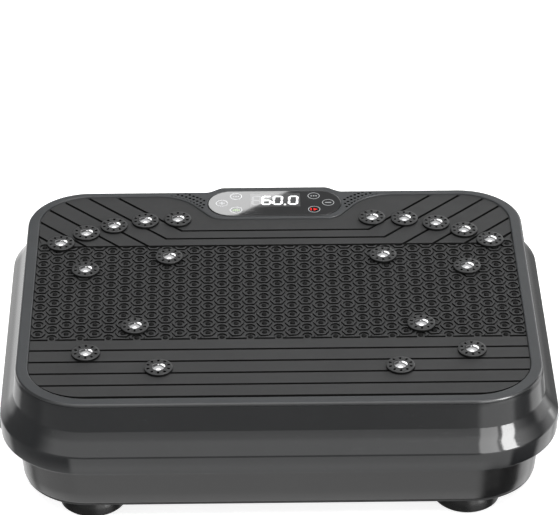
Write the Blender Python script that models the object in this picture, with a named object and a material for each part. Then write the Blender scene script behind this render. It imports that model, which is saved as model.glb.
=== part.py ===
"""Rocking vibration plate: a base on four suction feet, and a deck that teeters on a front-to-back shaft.

Metres, +Z up. X runs from the user's left to right, -Y is the front, and Z = 0 is the floor under the feet.
The motor turns a crank shaft through a belt. Two eccentrics on that shaft, half a turn apart, push the deck
up on one side and down on the other through two rods.
"""

import math

import bmesh
import bpy
from mathutils import Matrix, Vector

GAP = 0.0003  # air left between pieces that touch
SIDES = 24  # facets of a round bore, shaft or disc

# Plan of the deck: the rim's outer edge, from which every other outline is offset.
RIM_HALF_X = 0.244
RIM_HALF_Y = 0.188
FRONT_RADIUS = 0.066
REAR_RADIUS = 0.060
CORNER_STEPS = 7
TAB_REACH = 0.0087  # how far the console tab stands out at the rear
TAB_HALF_FLAT = 0.050
TAB_HALF_FOOT = 0.068

# Heights of the deck.
SKIRT_BOTTOM = 0.0637
EDGE_Z = 0.0842
CREASE_Z = 0.1045
SHELL_TOP = 0.1280
RIM_TOP = 0.1316
MAT_TOP = 0.1301
MAT_BOTTOM = 0.1253
PLATE_TOP = 0.1250
PLATE_BOTTOM = 0.1200
UNDER_PLATE = PLATE_BOTTOM - GAP
SKIRT_FLARE = 0.016
WALL = 0.003

# Mat outline, and the console lobe that it runs round.
MAT_HALF_X = 0.2323
MAT_FRONT = -0.1766
MAT_REAR = 0.1802
LOBE_FRONT = 0.1357
LOBE_HALF_FRONT = 0.0609
LOBE_HALF_REAR = 0.0935

# Console.
LENS_HALF_X = 0.0664
LENS_Y = 0.1640
LENS_RADIUS = 0.0238
SPEAKER_X = 0.084
SPEAKER_Y = 0.169
SPEAKER_PROFILE = (
    (0.0, 0.1080),
    (0.008, 0.1080),
    (0.008, 0.1140),
    (0.012, 0.1180),
    (0.012, 0.1215),
    (0.0, 0.1215),
)
DISPLAY_BOARD = ((-0.045, 0.146, 0.1170), (0.045, 0.175, 0.1266))
DISPLAY_BLOCK = ((-0.025, 0.158, 0.1262), (0.025, 0.174, 0.1281))

# Massage knobs: distance from the centre line and place along Y. Five pairs lie on the rear arc.
KNOB_PAIRS = (
    (0.2101, 0.0909),
    (0.1858, 0.1097),
    (0.1589, 0.1233),
    (0.1282, 0.1320),
    (0.0961, 0.1345),
    (0.1844, 0.0423),
    (0.1039, 0.0644),
    (0.1348, -0.0580),
    (0.1795, -0.1030),
    (0.1117, -0.1286),
)
KNOB_RADIUS = 0.0133
KNOB_SIDES = 14
KNOB_TOP = 0.1332
MAGNET_RADIUS = 0.0063
MAGNET_TOP = 0.1357
STEM_RADIUS = 0.005

# Base.
BASE_BOTTOM = 0.0184
BASE_TOP = 0.072
FLOOR_TOP = 0.0181
FLOOR_BOTTOM = 0.0162
FOOT_X = 0.1745
FOOT_Y = 0.1505
FOOT_RADIUS = 0.031
BUFFER_X = 0.195
BUFFER_Y = 0.110
BUFFER_TOP = 0.1145
FOOT_PROFILE = (
    (0.0, 0.0060),
    (0.0140, 0.0050),
    (0.0240, 0.0),
    (0.0285, 0.0),
    (FOOT_RADIUS, 0.0045),
    (0.0306, 0.0115),
    (0.0290, FLOOR_BOTTOM - GAP),
    (0.0, FLOOR_BOTTOM - GAP),
)
BUFFER_PROFILE = (
    (0.0, FLOOR_TOP + GAP),
    (0.016, FLOOR_TOP + GAP),
    (0.011, BUFFER_TOP - 0.004),
    (0.008, BUFFER_TOP),
    (0.0, BUFFER_TOP),
)

# Drive. The rock axis is along Y, the crank and motor axes along X.
ROCK_Z = 0.088
ROCK_SHAFT_RADIUS = 0.006
ROCK_SHAFT_END = 0.128
HANGER_NEAR, HANGER_FAR = 0.094, 0.105
HANGER_EAR = (0.020, 0.074, 0.010, 0.026, UNDER_PLATE, 0.001)  # low half width, z, corner, then the high ones
BRACKET_NEAR, BRACKET_FAR = 0.119, 0.123
BRACKET_EAR = (0.010, 0.091, 0.008, 0.014, UNDER_PLATE, 0.001)
ROD_PIN_NEAR, ROD_PIN_FAR = 0.1035, 0.121
BORE_EASE = 0.0004
CRANK_Z = 0.048
THROW = 0.0023
ECCENTRIC_RADIUS = 0.011
JOURNAL_RADIUS = 0.0065
CRANK_END = 0.1165
ECCENTRIC_NEAR, ECCENTRIC_FAR = 0.1052, 0.1148
BEARING_NEAR, BEARING_FAR = 0.080, 0.096
BEARING_EAR = (0.022, FLOOR_TOP + GAP, 0.001, 0.015, 0.066, 0.012)
ROCK_BLOCK_NEAR, ROCK_BLOCK_FAR = 0.108, 0.126
ROCK_BLOCK_EAR = (0.030, FLOOR_TOP + GAP, 0.001, 0.016, 0.104, 0.013)
ROD_X = 0.110
ROD_PIN_Z = 0.100
ROD_PIN_RADIUS = 0.004
ROD_EYE_RADIUS = 0.0093
ROD_THICKNESS = 0.008
MOTOR_Y = -0.075
MOTOR_Z = 0.050
MOTOR_RADIUS = 0.028
MOTOR_REAR, MOTOR_FACE = -0.060, 0.031
MOTOR_NOSE_RADIUS = 0.012
MOTOR_NOSE_END = 0.0355
MOTOR_SHAFT_RADIUS = 0.004
CRADLE_LEFT, CRADLE_RIGHT = -0.045, 0.020
CRADLE_HALF_Y = 0.024
CRADLE_TOP = 0.034
PULLEY_X = 0.050
PULLEY_WIDTH = 0.010
CRANK_PULLEY_RADIUS = 0.024
MOTOR_PULLEY_RADIUS = 0.012
BELT_THICKNESS = 0.0025

# Mains entry in the rear wall, and the rocker switch beside it.
INLET_Y = 0.1907
INLET_Z = 0.042
SOCKET_X = 0.150
SWITCH_X = 0.108
SWITCH_AXIS_Y = 0.1884
SWITCH_HALF_X = 0.0096
ENTRY_DEPTH = 0.021
ENTRY_HALF_Z = 0.011
SOCKET_BODY_HALF = 0.016
SWITCH_BODY_HALF = 0.013
SOCKET_HALF_X = 0.012
SOCKET_HALF_Z = 0.0085
SOCKET_DEPTH = 0.017
SWITCH_WELL_HALF_Z = 0.0088
ROCKER_SECTION = (
    (0.0030, -0.0076),
    (0.0014, 0.0),
    (0.0030, 0.0076),
    (-0.0030, 0.0076),
    (-0.0062, 0.0048),
    (-0.0078, 0.0),
    (-0.0062, -0.0048),
    (-0.0030, -0.0076),
)

# Power board behind the mains entry: opposite corners of its blocks.
BOARD = ((0.070, 0.105, 0.024), (0.160, 0.158, 0.026))
BOARD_TRANSFORMER = ((0.080, 0.115, 0.0255), (0.100, 0.145, 0.042))
BOARD_HEAT_SINK = ((0.112, 0.110, 0.0255), (0.150, 0.120, 0.046))
BOARD_POSTS_X = (0.078, 0.152)
BOARD_POST_Y = 0.133

# Loops for the resistance bands.
LOOP_Y = -0.060
LOOP_Z = 0.028
LOOP_PLATE_X = 0.2432
LOOP_PLATE_THICKNESS = 0.003
LOOP_PLATE_HALF_Y = 0.026
LOOP_PLATE_HALF_Z = 0.0075
LOOP_REACH_X = 0.266
LOOP_HALF_Y = 0.018
LOOP_WIRE_RADIUS = 0.0026


# ---------------------------------------------------------------- scene and materials


def clear_scene():
    for obj in list(bpy.data.objects):
        bpy.data.objects.remove(obj)


def material(name, colour, roughness, metallic=0.0):
    found = bpy.data.materials.get(name)
    if found:
        return found
    made = bpy.data.materials.new(name)
    made.use_nodes = True
    shader = made.node_tree.nodes["Principled BSDF"]
    shader.inputs["Base Color"].default_value = (*colour, 1.0)
    shader.inputs["Roughness"].default_value = roughness
    shader.inputs["Metallic"].default_value = metallic
    return made


def gloss_plastic():
    return material("gloss_plastic", (0.045, 0.048, 0.050), 0.15)


def satin_plastic():
    return material("satin_plastic", (0.085, 0.085, 0.085), 0.40)


def rim_plastic():
    return material("rim_plastic", (0.095, 0.100, 0.103), 0.45)


def mat_rubber():
    return material("mat_rubber", (0.060, 0.060, 0.060), 0.70)


def knob_plastic():
    return material("knob_plastic", (0.065, 0.065, 0.065), 0.50)


def foot_rubber():
    return material("foot_rubber", (0.012, 0.012, 0.012), 0.30)


def black_plastic():
    return material("black_plastic", (0.020, 0.020, 0.021), 0.35)


def lens_acrylic():
    return material("lens_acrylic", (0.030, 0.031, 0.032), 0.08)


def steel():
    return material("steel", (0.56, 0.57, 0.58), 0.35, 1.0)


def cast_metal():
    return material("cast_metal", (0.40, 0.41, 0.42), 0.50, 1.0)


def board_green():
    return material("board_green", (0.02, 0.14, 0.06), 0.45)


# ---------------------------------------------------------------- joints


def pivot(name, place):
    """An empty on a joint's axis, which the moving pieces are parented to."""
    empty = bpy.data.objects.new(name, None)
    empty.location = place
    bpy.context.collection.objects.link(empty)
    return empty


def attach(obj, parent):
    obj.parent = parent
    obj.matrix_parent_inverse = Matrix.Translation(-parent.location)


# ---------------------------------------------------------------- solids


def object_from(mesh_builder, name, finish, parent=None):
    """Turns a bmesh into a named object with outward faces, one material and smooth round sides."""
    bmesh.ops.remove_doubles(mesh_builder, verts=mesh_builder.verts, dist=1e-6)
    bmesh.ops.recalc_face_normals(mesh_builder, faces=mesh_builder.faces)
    mesh = bpy.data.meshes.new(name)
    mesh_builder.to_mesh(mesh)
    mesh_builder.free()
    mesh.shade_smooth()
    mesh.set_sharp_from_angle(angle=math.radians(35))
    mesh.materials.append(finish)
    obj = bpy.data.objects.new(name, mesh)
    bpy.context.collection.objects.link(obj)
    if parent:
        attach(obj, parent)
    return obj


def loft(loops, ring=False):
    """A skin over loops of equal length: capped at both ends, or joined round into a ring."""
    mesh = bmesh.new()
    rows = [[mesh.verts.new(point) for point in loop] for loop in loops]
    count = len(rows[0])
    pairs = list(zip(rows, rows[1:]))
    if ring:
        pairs.append((rows[-1], rows[0]))
    else:
        mesh.faces.new(rows[0])
        mesh.faces.new(rows[-1])
    for low, high in pairs:
        for i in range(count):
            j = (i + 1) % count
            mesh.faces.new((low[i], low[j], high[j], high[i]))
    return mesh


def prism(points, start, end, axis="Z"):
    """Extrudes a flat outline from start to end along X, Y or Z."""
    place = {
        "X": lambda a, b, at: (at, a, b),
        "Y": lambda a, b, at: (a, at, b),
        "Z": lambda a, b, at: (a, b, at),
    }[axis]
    return loft([[place(a, b, at) for a, b in points] for at in (start, end)])


def box(low, high):
    corners = ((low[0], low[1]), (high[0], low[1]), (high[0], high[1]), (low[0], high[1]))
    return prism(corners, low[2], high[2])


def circle(radius, centre=(0.0, 0.0), count=SIDES):
    turn = 2 * math.pi / count
    return [
        (centre[0] + radius * math.cos(i * turn), centre[1] + radius * math.sin(i * turn))
        for i in range(count)
    ]


def turned(profile, place, count=SIDES):
    """Spins a profile of (radius, height) round a vertical axis through place."""
    mesh = bmesh.new()
    verts = [mesh.verts.new((radius, 0.0, height)) for radius, height in profile]
    edges = [mesh.edges.new(pair) for pair in zip(verts, verts[1:])]
    bmesh.ops.spin(
        mesh,
        geom=verts + edges,
        cent=(0, 0, 0),
        axis=(0, 0, 1),
        angle=2 * math.pi,
        steps=count,
        use_merge=True,
    )
    bmesh.ops.translate(mesh, verts=mesh.verts, vec=place)
    return mesh


def rounded(corners, steps=CORNER_STEPS):
    """A closed outline whose corners (x, y, radius), given anticlockwise, are turned into arcs."""
    points = []
    for i, (x, y, radius) in enumerate(corners):
        here = Vector((x, y))
        back = (Vector(corners[i - 1][:2]) - here).normalized()
        ahead = (Vector(corners[(i + 1) % len(corners)][:2]) - here).normalized()
        half = back.angle(ahead) / 2
        centre = here + (back + ahead).normalized() * (radius / math.sin(half))
        first = here + back * (radius / math.tan(half)) - centre
        last = here + ahead * (radius / math.tan(half)) - centre
        swing = first.angle_signed(last)
        for step in range(steps + 1):
            turn = Matrix.Rotation(-swing * step / steps, 2)
            points.append(tuple(centre + turn @ first))
    return points


def rounded_box(half_x, half_y, radius, centre=(0.0, 0.0), steps=CORNER_STEPS):
    corners = ((-half_x, -half_y), (half_x, -half_y), (half_x, half_y), (-half_x, half_y))
    return rounded([(centre[0] + x, centre[1] + y, radius) for x, y in corners], steps)


def wrapped(centre_a, radius_a, centre_b, radius_b, steps=10):
    """The outline of a band pulled tight round two circles."""
    a, b = Vector(centre_a), Vector(centre_b)
    along = math.atan2(b.y - a.y, b.x - a.x)
    lean = math.acos((radius_a - radius_b) / (b - a).length)
    points = []
    for centre, radius, first, last in (
        (a, radius_a, along + lean, along + 2 * math.pi - lean),
        (b, radius_b, along - lean, along + lean),
    ):
        for step in range(steps + 1):
            angle = first + (last - first) * step / steps
            points.append((centre.x + radius * math.cos(angle), centre.y + radius * math.sin(angle)))
    return points


def swept(path, radius, count=8):
    """A round bar along a flat path that lies at one height."""
    rings = []
    for i, point in enumerate(path):
        ahead = Vector(path[min(i + 1, len(path) - 1)]) - Vector(path[max(i - 1, 0)])
        side = ahead.normalized().cross(Vector((0, 0, 1)))
        section = circle(radius, count=count)
        rings.append([tuple(Vector(point) + side * a + Vector((0, 0, b))) for a, b in section])
    return loft(rings)


def boolean(target, operation, tool_mesh, tool_name):
    """Adds a Boolean to target. Its tool object is a helper, so it is hidden."""
    tool = object_from(tool_mesh, tool_name, target.data.materials[0], target.parent)
    tool.hide_render = True
    tool.display_type = "WIRE"
    modifier = target.modifiers.new(tool_name, "BOOLEAN")
    modifier.operation = operation
    modifier.object = tool
    modifier.solver = "EXACT"
    return target


def cut(target, tool_mesh, tool_name):
    return boolean(target, "DIFFERENCE", tool_mesh, tool_name)


def join(target, tool_mesh, tool_name):
    return boolean(target, "UNION", tool_mesh, tool_name)


def several(meshes):
    """One bmesh that holds the separate closed shapes of many."""
    whole = bmesh.new()
    for mesh in meshes:
        scratch = bpy.data.meshes.new("scratch")
        bmesh.ops.recalc_face_normals(mesh, faces=mesh.faces)
        mesh.to_mesh(scratch)
        mesh.free()
        whole.from_mesh(scratch)
        bpy.data.meshes.remove(scratch)
    return whole


# ---------------------------------------------------------------- outlines of this plate


def tab_rise(x):
    """0 beside the console tab and 1 along its straight back, with a smooth step between."""
    t = (TAB_HALF_FOOT - abs(x)) / (TAB_HALF_FOOT - TAB_HALF_FLAT)
    t = min(max(t, 0.0), 1.0)
    return t * t * (3 - 2 * t)


def plan(offset, height, tab=0.0, rear_offset=None):
    """The rim's outline grown by offset, at one height, with a share of the tab's bulge at the rear."""
    rear_offset = offset if rear_offset is None else rear_offset
    half_x = RIM_HALF_X + offset
    front, rear = -RIM_HALF_Y - offset, RIM_HALF_Y + rear_offset
    front_radius, rear_radius = FRONT_RADIUS + offset, REAR_RADIUS + offset
    outline = rounded(
        (
            (-half_x, front, front_radius),
            (half_x, front, front_radius),
            (half_x, rear, rear_radius),
            (-half_x, rear, rear_radius),
        )
    )
    at = 3 * (CORNER_STEPS + 1)
    step_x = (TAB_HALF_FOOT, 0.062, 0.056, TAB_HALF_FLAT)
    across = [x for x in step_x] + [-x for x in reversed(step_x)]
    outline[at:at] = [(x, rear + tab * TAB_REACH * tab_rise(x)) for x in across]
    return [(x, y, height) for x, y in outline]


def mat_outline(grow=0.0):
    half_x = MAT_HALF_X + grow
    front, rear = MAT_FRONT - grow, MAT_REAR + grow
    lobe = LOBE_FRONT + grow
    return rounded(
        (
            (-half_x, front, 0.0547 + grow),
            (half_x, front, 0.0547 + grow),
            (half_x, rear, 0.050 + grow),
            (LOBE_HALF_REAR - grow, rear, 0.047),
            (LOBE_HALF_FRONT - grow, lobe, 0.021),
            (-LOBE_HALF_FRONT + grow, lobe, 0.021),
            (-LOBE_HALF_REAR + grow, rear, 0.047),
            (-half_x, rear, 0.050 + grow),
        )
    )


# ---------------------------------------------------------------- deck: everything the user stands on


def make_upper_shell(deck):
    """The glossy skirt: steep under the rim, flared to its widest edge, then a plain upright band."""
    outer = [
        plan(-0.0005, SHELL_TOP, 1.0),
        plan(0.0006, 0.1250, 1.0),
        plan(0.0030, CREASE_Z, 0.55),
        plan(0.0080, 0.0945, 0.25),
        plan(SKIRT_FLARE, EDGE_Z),
        plan(SKIRT_FLARE - 0.0006, SKIRT_BOTTOM),
    ]
    inner = [
        plan(SKIRT_FLARE - 0.0006 - WALL, SKIRT_BOTTOM),
        plan(SKIRT_FLARE - 0.0005 - WALL, EDGE_Z - 0.001),
        plan(0.0080 - WALL, 0.0930, 0.25),
        plan(0.0030 - WALL, CREASE_Z, 0.55),
        plan(0.0006 - WALL, SHELL_TOP - 0.006, 1.0),
        plan(-0.0113, SHELL_TOP - 0.006, rear_offset=-0.0072),
        plan(-0.0113, SHELL_TOP, rear_offset=-0.0072),
    ]
    return object_from(loft(outer + inner, ring=True), "upper_shell", gloss_plastic(), deck)


def make_deck_rim(deck):
    """The flat frame round the mat, which widens into the console at the rear."""
    low = SHELL_TOP + GAP
    loops = [plan(-0.0004, low, 1.0), plan(0.0, low + 0.0006, 1.0), plan(0.0, RIM_TOP - 0.0008, 1.0)]
    loops.append(plan(-0.0010, RIM_TOP, 1.0))
    rim = object_from(loft(loops), "deck_rim", rim_plastic(), deck)
    cut(rim, prism(mat_outline(GAP), low - 0.01, RIM_TOP + 0.01), "rim_mat_opening")
    window = rounded_box(LENS_HALF_X + GAP, LENS_RADIUS + GAP, LENS_RADIUS, (0.0, LENS_Y), 8)
    cut(rim, prism(window, low - 0.01, RIM_TOP + 0.01), "rim_lens_opening")
    return rim


def make_mat(deck):
    mat = object_from(prism(mat_outline(), MAT_BOTTOM, MAT_TOP), "mat", mat_rubber(), deck)
    stems = [
        prism(circle(STEM_RADIUS + GAP, (x * side, y), 10), MAT_BOTTOM - 0.01, MAT_TOP + 0.01)
        for x, y in KNOB_PAIRS
        for side in (-1, 1)
    ]
    return cut(mat, several(stems), "mat_stem_holes")


def make_knobs(deck):
    """A ribbed disc with a domed magnet in the middle, pushed into the mat by its stem."""
    stem_foot = PLATE_TOP + 2 * GAP
    profile = (
        (0.0, stem_foot),
        (STEM_RADIUS, stem_foot),
        (STEM_RADIUS, MAT_TOP + GAP),
        (KNOB_RADIUS, MAT_TOP + GAP),
        (KNOB_RADIUS, KNOB_TOP),
        (MAGNET_RADIUS, KNOB_TOP),
        (0.66 * MAGNET_RADIUS, MAGNET_TOP - 0.0006),
        (0.0, MAGNET_TOP),
    )
    made = []
    for number, (x, y) in enumerate(KNOB_PAIRS, 1):
        for side, word in ((-1, "left"), (1, "right")):
            name = f"knob_{word}_{number:02d}"
            knob = turned(profile, (side * x, y, 0.0), KNOB_SIDES)
            made.append(object_from(knob, name, knob_plastic(), deck))
    return made


def make_deck_plate(deck):
    """The steel plate under the mat, notched at the rear for the console."""
    outline = rounded(
        (
            (-0.230, -0.174, 0.052),
            (0.230, -0.174, 0.052),
            (0.230, 0.174, 0.045),
            (0.120, 0.174, 0.004),
            (0.120, 0.126, 0.004),
            (-0.120, 0.126, 0.004),
            (-0.120, 0.174, 0.004),
            (-0.230, 0.174, 0.045),
        ),
        4,
    )
    return object_from(prism(outline, PLATE_BOTTOM, PLATE_TOP), "deck_plate", steel(), deck)


def make_console(deck):
    lens = rounded_box(LENS_HALF_X, LENS_RADIUS, LENS_RADIUS - 0.0001, (0.0, LENS_Y), 8)
    object_from(prism(lens, SHELL_TOP + 2 * GAP, RIM_TOP + GAP), "display_lens", lens_acrylic(), deck)
    module = object_from(box(*DISPLAY_BOARD), "display_module", board_green(), deck)
    join(module, box(*DISPLAY_BLOCK), "display_window_block")
    for side, word in ((-1, "left"), (1, "right")):
        speaker = turned(SPEAKER_PROFILE, (side * SPEAKER_X, SPEAKER_Y, 0.0), 16)
        object_from(speaker, f"speaker_{word}", black_plastic(), deck)


def ear_outline(low_half, low_z, low_corner, high_half, high_z, high_corner):
    """A symmetric four-sided outline that tapers from its low edge to its high one, with rounded corners."""
    return rounded(
        (
            (-low_half, low_z, low_corner),
            (low_half, low_z, low_corner),
            (high_half, high_z, high_corner),
            (-high_half, high_z, high_corner),
        ),
        4,
    )


def make_deck_hangers(deck):
    """Two steel ears under the deck plate, which hang on the rock shaft."""
    outline = ear_outline(*HANGER_EAR)
    for side, word in ((-1, "front"), (1, "rear")):
        near, far = sorted((side * HANGER_NEAR, side * HANGER_FAR))
        hanger = object_from(prism(outline, near, far, "Y"), f"deck_hanger_{word}", steel(), deck)
        bore = circle(ROCK_SHAFT_RADIUS + BORE_EASE, (0.0, ROCK_Z))
        cut(hanger, prism(bore, near - 0.01, far + 0.01, "Y"), f"hanger_bore_{word}")


def make_rod_brackets(deck):
    """An ear under the deck plate on each side, with the pin that its rod pushes on."""
    outline = ear_outline(*BRACKET_EAR)
    for side, word in ((-1, "left"), (1, "right")):
        near, far = sorted((side * BRACKET_NEAR, side * BRACKET_FAR))
        bracket = object_from(prism(outline, near, far, "X"), f"rod_bracket_{word}", steel(), deck)
        pin_near, pin_far = sorted((side * ROD_PIN_NEAR, side * ROD_PIN_FAR))
        pin = prism(circle(ROD_PIN_RADIUS, (0.0, ROD_PIN_Z), 16), pin_near, pin_far, "X")
        join(bracket, pin, f"rod_pin_{word}")


# ---------------------------------------------------------------- drive


def make_crank(crank):
    """One shaft across the plate with two eccentrics, half a turn apart, and its belt pulley."""
    shaft = prism(circle(JOURNAL_RADIUS, (0.0, CRANK_Z)), -CRANK_END, CRANK_END, "X")
    crank_shaft = object_from(shaft, "crank_shaft", steel(), crank)
    for side, word in ((-1, "left"), (1, "right")):
        near, far = sorted((side * ECCENTRIC_NEAR, side * ECCENTRIC_FAR))
        lobe = prism(circle(ECCENTRIC_RADIUS, (-side * THROW, CRANK_Z)), near, far, "X")
        join(crank_shaft, lobe, f"eccentric_{word}")
    half = PULLEY_WIDTH / 2
    pulley = prism(circle(CRANK_PULLEY_RADIUS, (0.0, CRANK_Z)), PULLEY_X - half, PULLEY_X + half, "X")
    wheel = object_from(pulley, "crank_pulley", cast_metal(), crank)
    bore = prism(circle(JOURNAL_RADIUS + GAP, (0.0, CRANK_Z)), PULLEY_X - 0.02, PULLEY_X + 0.02, "X")
    cut(wheel, bore, "crank_pulley_bore")


def make_rod(side, word, parent):
    """A rod whose lower eye runs on its eccentric. Its wide upper eye leaves the open pivot room."""
    low, high = (-side * THROW, CRANK_Z), (-side * THROW, ROD_PIN_Z)
    near, far = sorted((side * (ROD_X - ROD_THICKNESS / 2), side * (ROD_X + ROD_THICKNESS / 2)))
    outline = wrapped(low, ECCENTRIC_RADIUS + 0.0045, high, ROD_EYE_RADIUS + 0.0040)
    rod = object_from(prism(outline, near, far, "X"), f"rod_{word}", cast_metal(), parent)
    eyes = [
        prism(circle(ECCENTRIC_RADIUS + BORE_EASE, low), near - 0.01, far + 0.01, "X"),
        prism(circle(ROD_EYE_RADIUS, high), near - 0.01, far + 0.01, "X"),
    ]
    cut(rod, several(eyes), f"rod_eyes_{word}")


def make_motor():
    centre = (MOTOR_Y, MOTOR_Z)
    can = prism(circle(MOTOR_RADIUS, centre), MOTOR_REAR, MOTOR_FACE, "X")
    motor = object_from(can, "motor_body", cast_metal())
    nose = prism(circle(MOTOR_NOSE_RADIUS, centre, 16), MOTOR_FACE - 0.001, MOTOR_NOSE_END, "X")
    join(motor, nose, "motor_nose")
    block = box(
        (CRADLE_LEFT, MOTOR_Y - CRADLE_HALF_Y, FLOOR_TOP + GAP),
        (CRADLE_RIGHT, MOTOR_Y + CRADLE_HALF_Y, CRADLE_TOP),
    )
    cradle = object_from(block, "motor_cradle", steel())
    saddle = prism(circle(MOTOR_RADIUS + GAP, centre), CRADLE_LEFT - 0.01, CRADLE_RIGHT + 0.01, "X")
    cut(cradle, saddle, "cradle_saddle")


def make_motor_pulley(rotor):
    centre = (MOTOR_Y, MOTOR_Z)
    half = PULLEY_WIDTH / 2
    wheel = prism(circle(MOTOR_PULLEY_RADIUS, centre), PULLEY_X - half, PULLEY_X + half, "X")
    pulley = object_from(wheel, "motor_pulley", steel(), rotor)
    stub = prism(circle(MOTOR_SHAFT_RADIUS, centre, 12), MOTOR_NOSE_END + 2 * GAP, PULLEY_X, "X")
    join(pulley, stub, "motor_shaft_end")


def make_belt():
    loops = []
    half = PULLEY_WIDTH / 2 - 0.001
    for grow, at in ((GAP, -half), (GAP, half), (BELT_THICKNESS, half), (BELT_THICKNESS, -half)):
        flat = wrapped(
            (0.0, CRANK_Z), CRANK_PULLEY_RADIUS + grow, (MOTOR_Y, MOTOR_Z), MOTOR_PULLEY_RADIUS + grow, 14
        )
        loops.append([(PULLEY_X + at, y, z) for y, z in flat])
    return object_from(loft(loops, ring=True), "drive_belt", foot_rubber())


def make_bearing_blocks():
    outline = ear_outline(*BEARING_EAR)
    for side, word in ((-1, "left"), (1, "right")):
        near, far = sorted((side * BEARING_NEAR, side * BEARING_FAR))
        block = object_from(prism(outline, near, far, "X"), f"bearing_block_{word}", cast_metal())
        bore = circle(JOURNAL_RADIUS + BORE_EASE, (0.0, CRANK_Z))
        cut(block, prism(bore, near - 0.01, far + 0.01, "X"), f"bearing_bore_{word}")


def make_rock_bearing():
    """The front-to-back shaft that the deck teeters on, and the two blocks that hold it."""
    shaft = prism(circle(ROCK_SHAFT_RADIUS, (0.0, ROCK_Z)), -ROCK_SHAFT_END, ROCK_SHAFT_END, "Y")
    object_from(shaft, "rock_shaft", steel())
    outline = ear_outline(*ROCK_BLOCK_EAR)
    for side, word in ((-1, "front"), (1, "rear")):
        near, far = sorted((side * ROCK_BLOCK_NEAR, side * ROCK_BLOCK_FAR))
        block = object_from(prism(outline, near, far, "Y"), f"rock_block_{word}", cast_metal())
        bore = circle(ROCK_SHAFT_RADIUS + BORE_EASE, (0.0, ROCK_Z))
        cut(block, prism(bore, near - 0.01, far + 0.01, "Y"), f"rock_bore_{word}")


# ---------------------------------------------------------------- base


def make_base_shell():
    """The satin wall that stands inside the skirt, with a lip at its foot for the floor plate."""
    loops = [
        plan(-0.0046, BASE_BOTTOM),
        plan(-0.0036, BASE_BOTTOM + 0.001),
        plan(0.0020, BASE_TOP),
        plan(0.0020 - WALL, BASE_TOP),
        plan(-0.0036 - WALL, BASE_BOTTOM + 0.004),
        plan(-0.0130, BASE_BOTTOM + 0.004),
        plan(-0.0130, BASE_BOTTOM),
    ]
    shell = object_from(loft(loops, ring=True), "base_shell", satin_plastic())
    ease = 0.0004
    cutouts = []
    for x, half_x in ((SOCKET_X, SOCKET_BODY_HALF + ease), (SWITCH_X, SWITCH_BODY_HALF + ease)):
        half_z = ENTRY_HALF_Z + ease
        cutouts.append(box((x - half_x, 0.17, INLET_Z - half_z), (x + half_x, 0.21, INLET_Z + half_z)))
    return cut(shell, several(cutouts), "rear_wall_cutouts")


def make_bottom_plate():
    loops = [plan(-0.0056, FLOOR_BOTTOM), plan(-0.0048, FLOOR_BOTTOM + 0.0008), plan(-0.0048, FLOOR_TOP)]
    return object_from(loft(loops), "bottom_plate", black_plastic())


def make_feet():
    """Rubber suction cups: a flat sealing ring round a shallow hollow."""
    for y, end in ((-FOOT_Y, "front"), (FOOT_Y, "rear")):
        for x, word in ((-FOOT_X, "left"), (FOOT_X, "right")):
            object_from(turned(FOOT_PROFILE, (x, y, 0.0), 20), f"foot_{end}_{word}", foot_rubber())


def make_buffers():
    """Rubber posts that stop the deck at the ends of its rocking."""
    for y, end in ((-BUFFER_Y, "front"), (BUFFER_Y, "rear")):
        for x, word in ((-BUFFER_X, "left"), (BUFFER_X, "right")):
            object_from(turned(BUFFER_PROFILE, (x, y, 0.0), 12), f"buffer_{end}_{word}", foot_rubber())


def make_power_entry():
    """A plate on the rear wall with the mains socket and the frame of the rocker switch."""
    low_x, high_x = SWITCH_X - 0.018, SOCKET_X + 0.022
    face = rounded_box((high_x - low_x) / 2, 0.0145, 0.003, ((low_x + high_x) / 2, INLET_Z), 3)
    entry = object_from(prism(face, INLET_Y - 0.0019, INLET_Y, "Y"), "power_inlet", black_plastic())
    back = INLET_Y - ENTRY_DEPTH
    low, high = INLET_Z - ENTRY_HALF_Z, INLET_Z + ENTRY_HALF_Z
    for x, half_x, word in ((SOCKET_X, SOCKET_BODY_HALF, "socket"), (SWITCH_X, SWITCH_BODY_HALF, "switch")):
        join(entry, box((x - half_x, back, low), (x + half_x, INLET_Y - 0.001, high)), f"{word}_body")
    socket = rounded(
        (
            (SOCKET_X - SOCKET_HALF_X, INLET_Z - SOCKET_HALF_Z, 0.001),
            (SOCKET_X + SOCKET_HALF_X, INLET_Z - SOCKET_HALF_Z, 0.001),
            (SOCKET_X + SOCKET_HALF_X, INLET_Z + SOCKET_HALF_Z, 0.005),
            (SOCKET_X - SOCKET_HALF_X, INLET_Z + SOCKET_HALF_Z, 0.005),
        ),
        3,
    )
    cut(entry, prism(socket, INLET_Y - SOCKET_DEPTH, INLET_Y + 0.01, "Y"), "socket_hollow")
    half_x = SWITCH_HALF_X + 2 * GAP
    low = (SWITCH_X - half_x, back + 0.0015, INLET_Z - SWITCH_WELL_HALF_Z)
    high = (SWITCH_X + half_x, INLET_Y + 0.01, INLET_Z + SWITCH_WELL_HALF_Z)
    cut(entry, box(low, high), "switch_well")


def make_power_switch(rocker):
    """A rocker with two slanted halves, whose corners all stay near its axis, so it clears its well."""
    outline = [(SWITCH_AXIS_Y + y, INLET_Z + z) for y, z in ROCKER_SECTION]
    solid = prism(outline, SWITCH_X - SWITCH_HALF_X, SWITCH_X + SWITCH_HALF_X, "X")
    return object_from(solid, "power_switch", black_plastic(), rocker)


def make_power_board():
    board = object_from(box(*BOARD), "power_board", board_green())
    join(board, box(*BOARD_TRANSFORMER), "board_transformer")
    join(board, box(*BOARD_HEAT_SINK), "board_heat_sink")
    for x in BOARD_POSTS_X:
        low = (x - 0.003, BOARD_POST_Y - 0.003, FLOOR_TOP + GAP)
        join(board, box(low, (x + 0.003, BOARD_POST_Y + 0.003, BOARD[0][2] + 0.0005)), f"board_post_{x}")


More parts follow.
